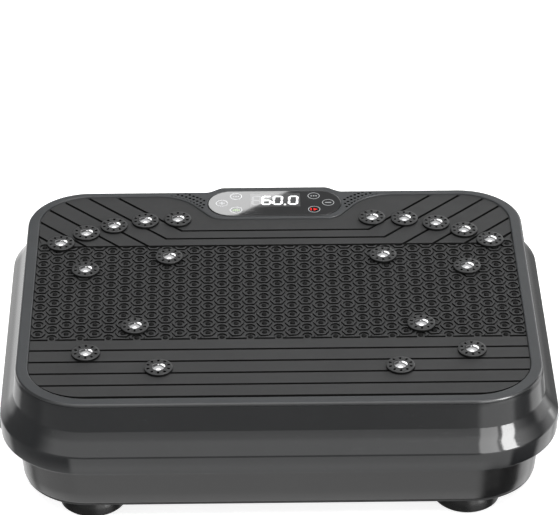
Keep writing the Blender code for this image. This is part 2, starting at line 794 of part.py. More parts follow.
def make_band_loops():
    """A steel loop on a screwed plate at each side, for a resistance band's hook."""
    for side, word in ((-1, "left"), (1, "right")):
        near, far = sorted((side * LOOP_PLATE_X, side * (LOOP_PLATE_X + LOOP_PLATE_THICKNESS)))
        face = rounded_box(LOOP_PLATE_HALF_Y, LOOP_PLATE_HALF_Z, 0.004, (LOOP_Y, LOOP_Z), 3)
        loop = object_from(prism(face, near, far, "X"), f"band_loop_{word}", steel())
        start = side * (LOOP_PLATE_X + LOOP_PLATE_THICKNESS / 2)
        reach = LOOP_REACH_X - LOOP_PLATE_X - LOOP_PLATE_THICKNESS / 2
        bend = [math.pi * i / 14 for i in range(15)]
        path = [
            (start + side * reach * math.sin(a) ** 0.7, LOOP_Y - side * LOOP_HALF_Y * math.cos(a), LOOP_Z)
            for a in bend
        ]
        join(loop, swept(path, LOOP_WIRE_RADIUS), f"band_bar_{word}")


def build():
    clear_scene()
    deck = pivot("deck_pivot", (0.0, 0.0, ROCK_Z))
    crank = pivot("crank_pivot", (0.0, 0.0, CRANK_Z))
    rotor = pivot("rotor_pivot", (PULLEY_X, MOTOR_Y, MOTOR_Z))
    rocker = pivot("switch_pivot", (SWITCH_X, SWITCH_AXIS_Y, INLET_Z))
    make_upper_shell(deck)
    make_deck_rim(deck)
    make_mat(deck)
    make_knobs(deck)
    make_deck_plate(deck)
    make_console(deck)
    make_deck_hangers(deck)
    make_rod_brackets(deck)
    make_crank(crank)
    for side, word in ((-1, "left"), (1, "right")):
        make_rod(side, word, pivot(f"rod_pivot_{word}", (side * ROD_X, -side * THROW, CRANK_Z)))
    make_motor()
    make_motor_pulley(rotor)
    make_belt()
    make_bearing_blocks()
    make_rock_bearing()
    make_base_shell()
    make_bottom_plate()
    make_feet()
    make_buffers()
    make_power_entry()
    make_power_switch(rocker)
    make_power_board()
    make_band_loops()


build()
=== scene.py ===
# %% [markdown]
# # A rocking vibration plate, made in Blender
#
# The real object is a low platform. A deck teeters a degree or so from side to side on a shaft inside the
# housing. Its top is an embossed rubber mat with magnetic massage knobs, framed by a satin rim that carries
# a small console. Under the rim hangs a glossy skirt, and inside the skirt stands the base on four rubber
# feet.
#
# This lesson dresses a fixed frame of plain solids. Each visible solid either gets a surface finish of its
# own, or is hidden behind a finer piece that is worked out here from formulas.

import bpy
import numpy as np
from mathutils import Matrix, Vector
from mathutils.geometry import delaunay_2d_cdt


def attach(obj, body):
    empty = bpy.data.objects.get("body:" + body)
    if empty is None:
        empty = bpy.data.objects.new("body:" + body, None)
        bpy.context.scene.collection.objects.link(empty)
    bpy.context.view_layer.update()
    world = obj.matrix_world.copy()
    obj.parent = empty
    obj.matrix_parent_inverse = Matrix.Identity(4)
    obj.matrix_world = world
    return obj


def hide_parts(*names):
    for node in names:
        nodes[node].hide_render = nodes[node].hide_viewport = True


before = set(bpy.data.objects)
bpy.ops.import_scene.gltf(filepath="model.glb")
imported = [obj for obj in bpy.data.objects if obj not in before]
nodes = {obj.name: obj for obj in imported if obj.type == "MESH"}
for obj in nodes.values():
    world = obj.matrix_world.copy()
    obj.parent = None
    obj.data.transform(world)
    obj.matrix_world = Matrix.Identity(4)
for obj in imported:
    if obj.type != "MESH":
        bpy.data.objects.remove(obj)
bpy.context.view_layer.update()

MM = 0.001

# %% [markdown]
# ## From arrays to a mesh
#
# Every new piece is a list of parts: an array of points, blocks of faces that index it, and the number of
# the finish that those faces wear. Joining the arrays and handing them to Blender in one go is fast, and it
# keeps the geometry readable as formulas. Points that coincide are merged, so that a piece made of patches
# ends up closed.

# %% Join parts into one finished piece
import bmesh


def piece(name, parts, finishes, body, replaces=(), sharp=32.0):
    """One mesh from (points, face blocks, finish number) parts, which rides on a body of the frame."""
    starts = np.cumsum([0] + [len(part[0]) for part in parts])
    corners, sizes, marks = [], [], []
    for (_, blocks, mark), start in zip(parts, starts):
        for block in blocks:
            block = np.atleast_2d(np.asarray(block, int))
            corners.append((block + start).ravel())
            sizes.append(np.full(len(block), block.shape[1]))
            marks.append(np.full(len(block), mark))
    points = np.concatenate([np.asarray(part[0], float).reshape(-1, 3) for part in parts])
    corners, sizes, marks = (np.concatenate(a).astype(np.int32) for a in (corners, sizes, marks))
    mesh = bpy.data.meshes.new(name)
    mesh.vertices.add(len(points))
    mesh.vertices.foreach_set("co", points.astype(np.float32).ravel())
    mesh.loops.add(len(corners))
    mesh.loops.foreach_set("vertex_index", corners)
    mesh.polygons.add(len(sizes))
    mesh.polygons.foreach_set("loop_start", np.cumsum(sizes).astype(np.int32) - sizes)
    for finish in finishes:
        mesh.materials.append(finish)
    mesh.polygons.foreach_set("material_index", marks)
    mesh.update(calc_edges=True)
    tidy = bmesh.new()
    tidy.from_mesh(mesh)
    bmesh.ops.remove_doubles(tidy, verts=tidy.verts, dist=2e-6)
    bmesh.ops.delete(tidy, geom=[v for v in tidy.verts if not v.link_faces], context="VERTS")
    tidy.to_mesh(mesh)
    tidy.free()
    mesh.shade_smooth()
    mesh.set_sharp_from_angle(angle=np.radians(sharp))
    obj = bpy.data.objects.new(name, mesh)
    bpy.context.scene.collection.objects.link(obj)
    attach(obj, body)
    if replaces:
        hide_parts(*replaces)
    print(f"{name}: {len(mesh.vertices)} points, {len(mesh.polygons)} faces")


# %% [markdown]
# ## Two ways to make a surface
#
# A **skin** is a grid of points: one parameter runs round an outline, the other along a profile. It suits
# the skirt, the rim's rounded edge, the feet and every round thing.
#
# **Terraces** suit the embossed mat and the pierced rim. A flat plan is cut into triangles along all its
# outlines, each triangle is given a level, and an upright wall is put wherever two neighbours differ in
# height. Many small steps come from one plan this way, with no boolean cutting.

# %% Skins
def skin(points, closed=False, caps=(False, False)):
    """Quads over points[row, column]. Columns run round anticlockwise and rows run up the outside, so that
    faces point out. closed joins the last row to the first; caps fill the first and the last row."""
    rows, cols = points.shape[:2]
    here = np.arange(rows * cols).reshape(rows, cols)
    beside = np.roll(here, -1, axis=1)
    quads = np.stack([here, beside, np.roll(beside, -1, axis=0), np.roll(here, -1, axis=0)], axis=-1)
    blocks = [quads[: rows if closed else rows - 1].reshape(-1, 4)]
    if caps[0]:
        blocks.append(here[0][::-1])
    if caps[1]:
        blocks.append(here[-1])
    return points.reshape(-1, 3), blocks


def turned(profile, at=(0.0, 0.0), count=32):
    """A profile of (radius, height) turned round an upright axis: (x + r cos a, y + r sin a, height)."""
    profile = np.asarray(profile, float)
    angle = np.arange(count) * 2 * np.pi / count
    ring = np.stack([np.cos(angle), np.sin(angle)], axis=-1)
    flat = np.asarray(at) + profile[:, None, :1] * ring[None]
    height = np.repeat(profile[:, 1][:, None], count, axis=1)
    return np.concatenate([flat, height[..., None]], axis=-1)


def softened(path, reach, steps=4):
    """An open path with eased inner corners: each is a parabola from reach before it to reach after."""
    path = np.asarray(path, float)
    here, before, after = path[1:-1], path[:-2] - path[1:-1], path[2:] - path[1:-1]
    reach = np.broadcast_to(reach, len(here))[:, None]
    start = here + before / np.linalg.norm(before[:, :2], axis=1)[:, None] * reach
    end = here + after / np.linalg.norm(after[:, :2], axis=1)[:, None] * reach
    t = np.linspace(0, 1, steps + 1)[None, :, None]
    arcs = (1 - t) ** 2 * start[:, None] + 2 * t * (1 - t) * here[:, None] + t**2 * end[:, None]
    return np.concatenate([path[:1], arcs.reshape(-1, path.shape[1]), path[-1:]])


# %% Outlines
def outline(corners, steps=12):
    """Corners (x, y, radius), anticlockwise, turned into arcs. An arc's centre lies on the corner's bisector,
    at radius / sin(half its angle), and the arc swings from one side's touching point to the other's."""
    corners = np.asarray(corners, float)
    here, radius = corners[:, :2], corners[:, 2:]
    back, ahead = np.roll(here, 1, axis=0) - here, np.roll(here, -1, axis=0) - here
    back /= np.linalg.norm(back, axis=1, keepdims=True)
    ahead /= np.linalg.norm(ahead, axis=1, keepdims=True)
    half = np.arccos((back * ahead).sum(axis=1, keepdims=True)) / 2
    middle = (back + ahead) / np.linalg.norm(back + ahead, axis=1, keepdims=True)
    centre = here + middle * radius / np.sin(half)
    first = here + back * radius / np.tan(half) - centre
    last = here + ahead * radius / np.tan(half) - centre
    start = np.arctan2(first[:, 1], first[:, 0])
    swing = (np.arctan2(last[:, 1], last[:, 0]) - start + np.pi) % (2 * np.pi) - np.pi
    angle = start[:, None] + swing[:, None] * np.linspace(0, 1, steps + 1)
    arc = np.stack([np.cos(angle), np.sin(angle)], axis=-1) * radius[:, None]
    return (centre[:, None] + arc).reshape(-1, 2)


def stadium(half_x, half_y, radius, at=(0.0, 0.0), steps=8):
    x, y = at
    signs = ((-1, -1), (1, -1), (1, 1), (-1, 1))
    return outline([(x + a * half_x, y + b * half_y, radius) for a, b in signs], steps)


def ring(radius, at=(0.0, 0.0), count=24):
    angle = np.arange(count) * 2 * np.pi / count
    return np.asarray(at) + radius * np.stack([np.cos(angle), np.sin(angle)], axis=-1)


def lifted(flat, height):
    """A flat outline at one height."""
    return np.concatenate([flat, np.full((len(flat), 1), height)], axis=1)


def carried(outline_of, profile):
    """Rows of an outline function, one for each (offset, height) of a profile."""
    return np.stack([lifted(outline_of(offset), height) for offset, height in profile])


# %% Terraces
def inside(points, loop):
    """Even-odd rule: a point is inside if a ray to its right crosses the loop an odd number of times."""
    x, y = points[:, :1], points[:, 1:]
    (ax, ay), (bx, by) = loop.T, np.roll(loop, -1, axis=0).T
    level = by == ay
    meets = ax + (y - ay) * (bx - ax) / np.where(level, 1.0, by - ay)
    return (((ay > y) != (by > y)) & (x < meets)).sum(axis=1) % 2 == 1


def triangles(loops):
    """Anticlockwise Delaunay triangles that keep every edge of the closed loops, and their centres."""
    sizes = [len(loop) for loop in loops]
    starts = np.repeat(np.cumsum([0] + sizes[:-1]), sizes)
    along = np.concatenate([np.arange(n) for n in sizes])
    edges = np.stack([starts + along, starts + (along + 1) % np.repeat(sizes, sizes)], axis=1)
    made = delaunay_2d_cdt((np.concatenate(loops) / MM).tolist(), edges.tolist(), [], 0, 1e-5)
    flat = np.array([tuple(v) for v in made[0]]) * MM
    faces = np.array(made[2], int)
    a, b, c = flat[faces].transpose(1, 0, 2)
    turn = (b[:, 0] - a[:, 0]) * (c[:, 1] - a[:, 1]) - (b[:, 1] - a[:, 1]) * (c[:, 0] - a[:, 0])
    faces = np.where((turn < 0)[:, None], faces[:, ::-1], faces)[np.abs(turn) > 1e-14]
    return flat, faces, flat[faces].mean(axis=1)


def terraces(loops, level_of, levels, foot=None):
    """Flat tops at several heights with upright walls between them.

    level_of gives each triangle's level number from its centre, or -1 outside. levels holds, for each number,
    (height, finish of the top, finish of the walls that rise to it). With a foot, the outer walls go down to
    that height and a floor closes the piece; without one, the outer edge is left for a skin to join."""
    flat, faces, centres = triangles(loops)
    level = level_of(centres)
    faces, level = faces[level >= 0], level[level >= 0]
    heights = np.array([row[0] for row in levels] + [foot or 0.0])
    count = len(flat)
    points = np.concatenate([lifted(flat, h) for h in heights])
    a, b = faces.ravel(), np.roll(faces, -1, axis=1).ravel()
    mine = np.repeat(level, 3)
    order = np.argsort(a * count + b)
    key = (a * count + b)[order]
    found = np.minimum(np.searchsorted(key, b * count + a), len(key) - 1)
    paired = key[found] == b * count + a
    other = np.where(paired, mine[order[found]], len(levels))
    drops = heights[mine] > heights[other] + 1e-7
    drops &= paired | (foot is not None)
    parts = []
    for number, (_, top, wall) in enumerate(levels):
        parts.append((points, [faces[level == number] + number * count], top))
        rise = drops & (mine == number)
        low_a, low_b = a[rise] + other[rise] * count, b[rise] + other[rise] * count
        high_a, high_b = a[rise] + number * count, b[rise] + number * count
        parts.append((points, [np.stack([low_a, low_b, high_b, high_a], axis=1)], wall))
    if foot is not None:
        parts.append((points, [faces[:, ::-1] + len(levels) * count], levels[0][2]))
    return [part for part in parts if len(part[1][0])]


def painted(shapes):
    """A level_of function: a triangle takes the number of the last shape (loop, number) that holds it."""

    def level_of(centres):
        level = np.full(len(centres), -1)
        for loop, number in shapes:
            level[inside(centres, loop)] = number
        return level

    return level_of


def flat_fill(loops, height, mark, facing_up=True):
    """A flat face between loops, holes left out by the even-odd rule."""
    flat, faces, centres = triangles(loops)
    keep = sum(inside(centres, loop).astype(int) for loop in loops) % 2 == 1
    faces = faces[keep] if facing_up else faces[keep][:, ::-1]
    return lifted(flat, height), [faces], mark


# %% [markdown]
# ## Finishes
#
# A moulded or rolled surface is never one flat value: its colour drifts a little, polish varies, and there
# is a grain too small to model. One helper builds that network: slow noise mixes two shades, another noise
# moves the roughness between two values, fine noise becomes a bump, and sparse specks or stretched
# scratches break it up. It reads Object coordinates, which on these pieces are real metres, so that grain
# has a true size everywhere.

# %% The finish helper
def node(tree, kind, **settings):
    made = tree.nodes.new(kind)
    for name, value in settings.items():
        if name in made.inputs:
            made.inputs[name].default_value = value
        else:
            setattr(made, name, value)
    return made


def noise(tree, coords, scale, stretch=(1, 1, 1), detail=4.0):
    """Fractal noise over metres. stretch below 1 along an axis draws it out along that axis."""
    place = node(tree, "ShaderNodeMapping")
    place.inputs["Scale"].default_value = stretch
    made = node(tree, "ShaderNodeTexNoise", Scale=scale, Detail=detail, Roughness=0.6)
    tree.links.new(coords, place.inputs["Vector"])
    tree.links.new(place.outputs["Vector"], made.inputs["Vector"])
    return made.outputs["Fac"]


def maths(tree, operation, a, b):
    """One Math node on two values, each a number or a socket."""
    made = node(tree, "ShaderNodeMath", operation=operation)
    for socket, value in zip(made.inputs, (a, b)):
        if isinstance(value, bpy.types.NodeSocket):
            tree.links.new(value, socket)
        else:
            socket.default_value = value
    return made.outputs[0]


def remapped(tree, value, low, high, to_low, to_high, **settings):
    made = node(tree, "ShaderNodeMapRange", **settings)
    for socket, number in zip(("From Min", "From Max", "To Min", "To Max"), (low, high, to_low, to_high)):
        made.inputs[socket].default_value = number
    tree.links.new(value, made.inputs["Value"])
    return made.outputs["Result"]


def blended(tree, factor, a, b):
    """Mixes two colours, each a colour value or a socket."""
    made = node(tree, "ShaderNodeMix", data_type="RGBA")
    tree.links.new(factor, made.inputs[0])
    for socket, colour in ((made.inputs[6], a), (made.inputs[7], b)):
        if isinstance(colour, bpy.types.NodeSocket):
            tree.links.new(colour, socket)
        else:
            socket.default_value = (*colour, 1.0)
    return made.outputs[2]


def finish(name, colour, rough, metal=0.0, tint=0.12, drift=18.0, spread=0.05, grain=0.00002,
           grain_scale=1500.0,
           specks=0.0, speck_colour=(0.3, 0.3, 0.29), scratches=0.0, scratch_along=(0.04, 1, 1), **sockets):
    """A Principled finish. colour drifts by tint either way, roughness by spread either way, grain is the
    bump's height in metres, and specks and scratches are the share of dust and of fine lines, from 0 to
    1."""
    material = bpy.data.materials.new(name)
    material.use_nodes = True
    tree = material.node_tree
    shader = tree.nodes["Principled BSDF"]
    shader.inputs["Metallic"].default_value = metal
    for socket, value in sockets.items():
        shader.inputs[socket.replace("_", " ")].default_value = value
    coords = node(tree, "ShaderNodeTexCoord").outputs["Object"]
    colour = np.array(colour)
    slow = remapped(tree, noise(tree, coords, drift), 0.3, 0.7, 0.0, 1.0)
    shade = blended(tree, slow, tuple(colour * (1 - tint)), tuple(np.minimum(colour * (1 + tint), 1.0)))
    rough_value = remapped(tree, noise(tree, coords, drift * 2.7), 0.25, 0.75, rough - spread, rough + spread)
    height = noise(tree, coords, grain_scale, detail=3.0)
    if specks:
        dust = node(tree, "ShaderNodeTexVoronoi", Scale=260.0)
        tree.links.new(coords, dust.inputs["Vector"])
        spot = remapped(tree, dust.outputs["Distance"], 0.05, 0.13, 1.0, 0.0)
        patch = remapped(tree, noise(tree, coords, 40.0), 0.5, 0.62, 0.0, specks)
        shade = blended(tree, maths(tree, "MULTIPLY", spot, patch), shade, speck_colour)
    if scratches:
        line = noise(tree, coords, 900.0, scratch_along, detail=2.0)
        rough_value = maths(tree, "ADD", rough_value, remapped(tree, line, 0.62, 0.7, 0.0, scratches))
    bump = node(tree, "ShaderNodeBump", Distance=grain, Strength=1.0)
    tree.links.new(height, bump.inputs["Height"])
    tree.links.new(shade, shader.inputs["Base Color"])
    tree.links.new(rough_value, shader.inputs["Roughness"])
    tree.links.new(bump.outputs["Normal"], shader.inputs["Normal"])
    return material


# %% [markdown]
# ## The housing's plan
#
# Seen from above the skirt, the rim, the base wall and the floor plate are one outline at different
# distances: a rectangle with generous corners, plus a shallow tab at the rear where the console pushes it
# out. So one function of an offset gives them all. The tab rises with a smoothstep, which has no kink at
# either end.

# %% Plan of the housing
RIM_HALF_X, RIM_HALF_Y = 0.244, 0.188
FRONT_RADIUS, REAR_RADIUS = 0.066, 0.060
TAB_REACH, TAB_FLAT, TAB_FOOT = 0.0087, 0.050, 0.068
INLET_Z = 0.042
CUTOUTS = ((0.1336, 0.1664), (0.0946, 0.1214))  # across the rear wall, for the mains socket and the switch
CUTOUT_LOW, CUTOUT_HIGH = INLET_Z - 0.0114, INLET_Z + 0.0114


def rear_columns():
    """Where points lie along the rear edge, right to left: the cutouts' sides and both slopes of the tab."""
    cut = np.sort(np.ravel(CUTOUTS))[::-1]
    slope = np.linspace(TAB_FOOT, TAB_FLAT, 13)
    return np.concatenate([cut, slope, -slope[::-1], -cut[::-1]])


def plan(offset, tab=0.0, rear_offset=None, steps=20):
    """The rim's edge grown by offset, with a share of the tab: y = rear + tab * reach * smoothstep(x)."""
    rear_offset = offset if rear_offset is None else rear_offset
    half_x, front, rear = RIM_HALF_X + offset, -RIM_HALF_Y - offset, RIM_HALF_Y + rear_offset
    low, high = FRONT_RADIUS + offset, REAR_RADIUS + offset
    arcs = outline([(-half_x, front, low), (half_x, front, low), (half_x, rear, high),
                    (-half_x, rear, high)], steps)
    x = rear_columns()
    t = np.clip((TAB_FOOT - np.abs(x)) / (TAB_FOOT - TAB_FLAT), 0, 1)
    across = np.stack([x, rear + tab * TAB_REACH * t * t * (3 - 2 * t)], axis=1)
    at = 3 * (steps + 1)
    return np.concatenate([arcs[:at], across, arcs[at:]])


def walls(profile, rear_offsets=None):
    """Rows of the housing's plan, one for each (offset, height, tab share) of a profile."""
    rear_offsets = rear_offsets or [None] * len(profile)
    return np.stack([lifted(plan(o, t, r), z) for (o, z, t), r in zip(profile, rear_offsets)])


print("plan:", len(plan(0.0)), "points")

# %% [markdown]
# ## The glossy skirt
#
# The deck's shell is moulded in dark glossy plastic. It drops steeply from the rim, flares out below a
# crease to its widest edge, then hangs as a short upright band. A boolean or a subdivided cage could do it,
# but the profile is the design, so it is written as a list of (offset, height, tab share) and carried round
# the plan. Easing the corners of the profile gives the crease and the edge the small radius that catches a
# line of light.

# %% Skirt
gloss = finish("skirt_gloss", (0.0105, 0.0112, 0.0120), 0.075, tint=0.10, spread=0.02, grain=0.000004,
               grain_scale=420.0, specks=0.10, scratches=0.10)
WALL = 0.003
FLARE = 0.016
skirt_outside = softened(
    [(FLARE - 0.0022, 0.0637, 0.0), (FLARE - 0.0004, 0.0652, 0.0), (FLARE, 0.0842, 0.0),
     (0.0080, 0.0945, 0.25),
     (0.0030, 0.1045, 0.55), (0.0006, 0.1250, 1.0), (-0.0005, 0.1280, 1.0)],
    (0.0006, 0.0013, 0.0035, 0.0011, 0.0009))
skirt_inside = [(-0.0113, 0.1280, 0.0), (-0.0113, 0.1220, 0.0), (0.0006 - WALL, 0.1220, 1.0),
                (0.0030 - WALL, 0.1045, 0.55), (0.0080 - WALL, 0.0930, 0.25), (0.0155 - WALL, 0.0832, 0.0),
                (0.0154 - WALL, 0.0637, 0.0)]
rears = [None] * len(skirt_outside) + [-0.0072, -0.0072] + [None] * 5
skirt_rows = walls(list(skirt_outside) + skirt_inside, rears)
piece("skirt", [(*skin(skirt_rows, closed=True), 0)], [gloss], "deck", ["upper_shell"])

# %% [markdown]
# ## The rim and the speaker holes
#
# The rim is a flat satin frame that widens at the rear into the console. Its top is one plan with a window
# for the lens and two fans of small blind holes over the speakers, so it is made as terraces. Its outer
# edge is rolled over, and the two inner edges have a narrow bevel: those are skins that share the plan's
# points.

# %% Rim
RIM_TOP = 0.1316
RIM_LOW = 0.1283
LENS_HALF_X, LENS_Y, LENS_RADIUS = 0.0664, 0.1640, 0.0238


def mat_outline(grow=0.0, front_back=0.0):
    """The mat's edge: a rounded rectangle whose rear side runs round the console in an S on each side."""
    half_x, front, rear, lobe = 0.2323 + grow, -0.1766 - grow + front_back, 0.1802 + grow, 0.1357 + grow
    low = 0.0547 + grow - front_back
    return outline([(-half_x, front, low), (half_x, front, low), (half_x, rear, 0.050 + grow),
                    (0.0935 - grow, rear, 0.047), (0.0609 - grow, lobe, 0.021), (-0.0609 + grow, lobe, 0.021),
                    (-0.0935 + grow, rear, 0.047), (-half_x, rear, 0.050 + grow)], 14)


def lens_outline(grow=0.0):
    return stadium(LENS_HALF_X + grow, LENS_RADIUS + grow, LENS_RADIUS + grow - 0.0001, (0.0, LENS_Y), 14)


SPEAKER_ROWS = (
    ((70.3, 170.3), (73.6, 173.8), (77.0, 176.4), (80.8, 179.1), (84.6, 181.8), (88.6, 184.0)),
    ((70.4, 162.5), (73.5, 166.2), (77.1, 169.6), (80.6, 172.7), (84.3, 175.3), (88.2, 177.8), (92.2, 180.3),
     (96.4, 182.3)),
    ((71.9, 156.7), (74.5, 160.3), (77.4, 163.4), (80.7, 166.4), (84.1, 169.1), (87.5, 171.6), (91.2, 174.0),
     (94.9, 175.9), (98.8, 178.0), (102.9, 179.5)),
)
speaker_holes = [ring(0.0015, (side * x * MM, y * MM), 8)
                 for row in SPEAKER_ROWS for x, y in row for side in (-1, 1)]
satin = finish("rim_satin", (0.052, 0.0545, 0.057), 0.44, tint=0.07, grain=0.000014,
               grain_scale=2600.0, specks=0.06, scratches=0.08, Specular_IOR_Level=0.26)
polished = finish("rim_polished_edge", (0.022, 0.023, 0.024), 0.15, tint=0.08, spread=0.04, grain=0.000004,
                  specks=0.02, scratches=0.04)
# Painted shade: the walls and floors of the blind speaker holes are near black, for the shade deep inside a
# hole.
hole_painted_shade = finish("speaker_hole_painted_shade", (0.003, 0.003, 0.003), 0.8, tint=0.3, spread=0.1,
                   Specular_IOR_Level=0.03)
ROLL = 0.0026
HOLD = 0.0004  # a narrow flat border that keeps the shading of a large flat face flat
turn = np.linspace(0, np.pi / 2, 7)
rolled = [(-ROLL + ROLL * c, RIM_TOP - ROLL + ROLL * s, 1.0) for s, c in zip(np.sin(turn), np.cos(turn))]
rim_edge = walls([(-0.0004, RIM_LOW, 1.0), (0.0, RIM_LOW + 0.0006, 1.0)] + rolled[:5])
rim_fold = walls(rolled[4:] + [(-ROLL - HOLD, RIM_TOP, 1.0)])
mat_side = carried(mat_outline, ((0.0012 + HOLD, RIM_TOP), (0.0012, RIM_TOP), (0.0006, RIM_TOP - 0.0003),
                                 (0.0003, RIM_TOP - 0.0009), (0.0003, RIM_LOW)))
lens_side = carried(lens_outline, ((0.0009 + HOLD, RIM_TOP), (0.0009, RIM_TOP), (0.0003, RIM_TOP - 0.0005),
                                   (0.0003, RIM_LOW)))
top_loops = [plan(-ROLL - HOLD, 1.0), mat_outline(0.0012 + HOLD), lens_outline(0.0009 + HOLD)]
low_loops = [plan(-0.0004, 1.0), mat_outline(0.0003), lens_outline(0.0003)]
rim_shapes = [(top_loops[0], 0), (top_loops[1], -1), (top_loops[2], -1)]
rim_shapes += [(hole, 1) for hole in speaker_holes]
# Level 1 and all walls are the holes, which wear the near-black painted shade.
rim_levels = [(RIM_TOP, 0, 1), (RIM_TOP - 0.0028, 1, 1)]
rim_parts = terraces(top_loops + speaker_holes, painted(rim_shapes), rim_levels)
rim_parts += [(*skin(rim_edge), 2), (*skin(rim_fold), 0), (*skin(mat_side[::-1, ::-1]), 0),
              (*skin(lens_side[::-1, ::-1]), 0)]
rim_parts.append(flat_fill(low_loops, RIM_LOW, 0, facing_up=False))
piece("rim", rim_parts, [satin, hole_painted_shade, polished], "deck", ["deck_rim"])
print("speaker holes:", len(speaker_holes))

# %% [markdown]
# ## The embossed mat
#
# The mat is one rubber moulding. Its middle is a field of hexagonal pads, each with a round recess and a
# small domed nub. In front of the field lie straight lands, and behind it the lands bend outwards in fans
# of forty-five degrees. A displacement map would need millions of faces for such crisp edges, so the plan
# is cut along every outline instead: hexagons, recesses and the strips between lands, all clipped by the
# mat's own edge.

# %% Plan of the pads and grooves
MAT_LOW, MAT_TOP = 0.1253, 0.1301
FLOOR_Z = MAT_TOP - 0.0018
PITCH_X, PITCH_Y = 13.3 * MM, 15.4 * MM
SHIFT = 0.4 * MM  # the field isn't quite central
PAD = 6.35 * MM
RECESS = 4.8 * MM
FIELD_FRONT, FIELD_REAR, FAN = -0.0767, 0.0857, 0.1267
GROOVE = 0.0028


def strip(path, width=GROOVE):
    """The outline of an even band along a path: both sides are the path moved along its mitred normal."""
    path = np.asarray(path, float)
    step = np.diff(path, axis=0)
    step /= np.linalg.norm(step, axis=1, keepdims=True)
    side = np.stack([-step[:, 1], step[:, 0]], axis=1)
    joint = np.concatenate([side[:1], side[:-1] + side[1:], side[-1:]])
    joint /= (joint * np.concatenate([side[:1], side])).sum(axis=1, keepdims=True)
    return np.concatenate([path + joint * width / 2, (path - joint * width / 2)[::-1]])


def fan(bend_x, bend_y, out=0.2):
    """A groove straight across the middle that turns back at 45 degrees on both sides."""
    return [(-bend_x - out, bend_y + out), (-bend_x, bend_y), (bend_x, bend_y), (bend_x + out, bend_y + out)]


grooves = [strip(fan(0.0920, 0.1152)), strip(fan(0.1071, 0.1006))]
for bend in (0.1233, 0.1526, 0.1838):
    grooves += [strip([(s * bend, 0.086), (s * (bend + 0.2), 0.286)]) for s in (-1, 1)]
grooves += [strip([(-0.3, y), (0.3, y)]) for y in (-0.0960, -0.1153, -0.1347, -0.1540)]
SIDE_REACH = FIELD_REAR + FAN
last = SIDE_REACH - GROOVE / 2
grooves += [strip([(s * last, FIELD_REAR), (s * (last + 0.2), FIELD_REAR + 0.2)]) for s in (-1, 1)]
edge_strips = [strip([(-0.3, FIELD_FRONT - GROOVE / 2), (0.3, FIELD_FRONT - GROOVE / 2)])]
edge_strips.append(strip([(-SIDE_REACH, FIELD_REAR + GROOVE / 2), (SIDE_REACH, FIELD_REAR + GROOVE / 2)]))

columns = np.arange(-17, 18)
rows = np.arange(0, 11)
k, n = (grid.ravel() for grid in np.meshgrid(columns, rows))


def cell_at(column, row):
    """A cell's centre. Every other column starts half a pitch further back."""
    start = np.where(column % 2 == 1, -0.0659, -0.0736)
    return np.stack([column * PITCH_X + SHIFT, start + row * PITCH_Y], axis=1)


cells = cell_at(k, n)


def in_field(points):
    """True in the band of pads, and in the corners outside the last fan line."""
    x, y = np.abs(points[:, 0]), points[:, 1]
    return (y > FIELD_FRONT) & ((y < FIELD_REAR) | (x - y > FAN))


def nearest_cell(points):
    """Distance to the nearest cell centre, as (dx, dy), over the two columns on either side of a point."""
    best = np.full((len(points), 2), 1.0)
    for shift in (0, 1):
        column = np.floor((points[:, 0] - SHIFT) / PITCH_X) + shift
        row = np.round((points[:, 1] - cell_at(column, 0)[:, 1]) / PITCH_Y)
        gap = points - cell_at(column, row)
        closer = np.hypot(*gap.T) < np.hypot(*best.T)
        best[closer] = gap[closer]
    return best


land_edge = mat_outline(-0.0001, front_back=0.0046)
base_edge = mat_outline()


def mat_level(points):
    """0 the floor of the field, 1 the floor of a groove, 2 a land, 3 a pad."""
    level = np.where(in_field(points), 0, 2)
    gap = np.abs(nearest_cell(points))
    reach = np.maximum(gap[:, 1], gap[:, 0] * np.cos(np.pi / 6) + gap[:, 1] / 2)
    level[in_field(points) & (reach < PAD) & (np.hypot(*gap.T) > RECESS * 0.98)] = 3
    for groove in grooves:
        level[~in_field(points) & inside(points, groove)] = 1
    for edge_strip in edge_strips:
        level[inside(points, edge_strip)] = 1
    level[~inside(points, land_edge)] = 1
    level[~inside(points, base_edge)] = -1
    return level


# %% Build the mat
hexagon = ring(PAD / np.cos(np.pi / 6), count=6)
near = cells[np.abs(cells[:, 0]) < 0.245]
pads = list(near[:, None] + hexagon)
recesses = list(near[:, None] + ring(RECESS, count=14))
far = 0.32  # past the mat's edge, which clips everything
field_loops = [np.array([(-far, FIELD_FRONT), (far, FIELD_FRONT), (far, FIELD_REAR), (-far, FIELD_REAR)])]
corner = np.array([(0, 0), (0.1, 0.1), (0.1, 0)]) + [SIDE_REACH, FIELD_REAR]
field_loops += [corner * [s, 1] for s in (-1, 1)]
rubber = finish("mat_rubber", (0.031, 0.0314, 0.0318), 0.58, tint=0.10, drift=14.0, spread=0.07,
                grain=0.00003,
                grain_scale=1900.0, specks=0.08, Specular_IOR_Level=0.24)
# Painted shade: a near-black copy of the mat's rubber covers every wall between levels, the groove floors and
# the nubs, so the recesses read as shaded.
rubber_painted_shade = finish("mat_rubber_painted_shade", (0.0045, 0.0045, 0.0045), 0.75, tint=0.2, spread=0.08,
                     grain=0.00003,
                     grain_scale=1900.0, Specular_IOR_Level=0.12)
web = finish("mat_rubber_web", (0.043, 0.0434, 0.0438), 0.62, spread=0.07, grain=0.00003,
             grain_scale=1900.0, specks=0.08, Specular_IOR_Level=0.25)
mat_loops = [base_edge, land_edge] + grooves + edge_strips + field_loops + pads + recesses
mat_levels = [(FLOOR_Z, 2, 1), (FLOOR_Z - 0.0006, 1, 1), (MAT_TOP, 0, 1), (MAT_TOP, 0, 1)]
mat_parts = terraces(mat_loops, mat_level, mat_levels, foot=MAT_LOW)


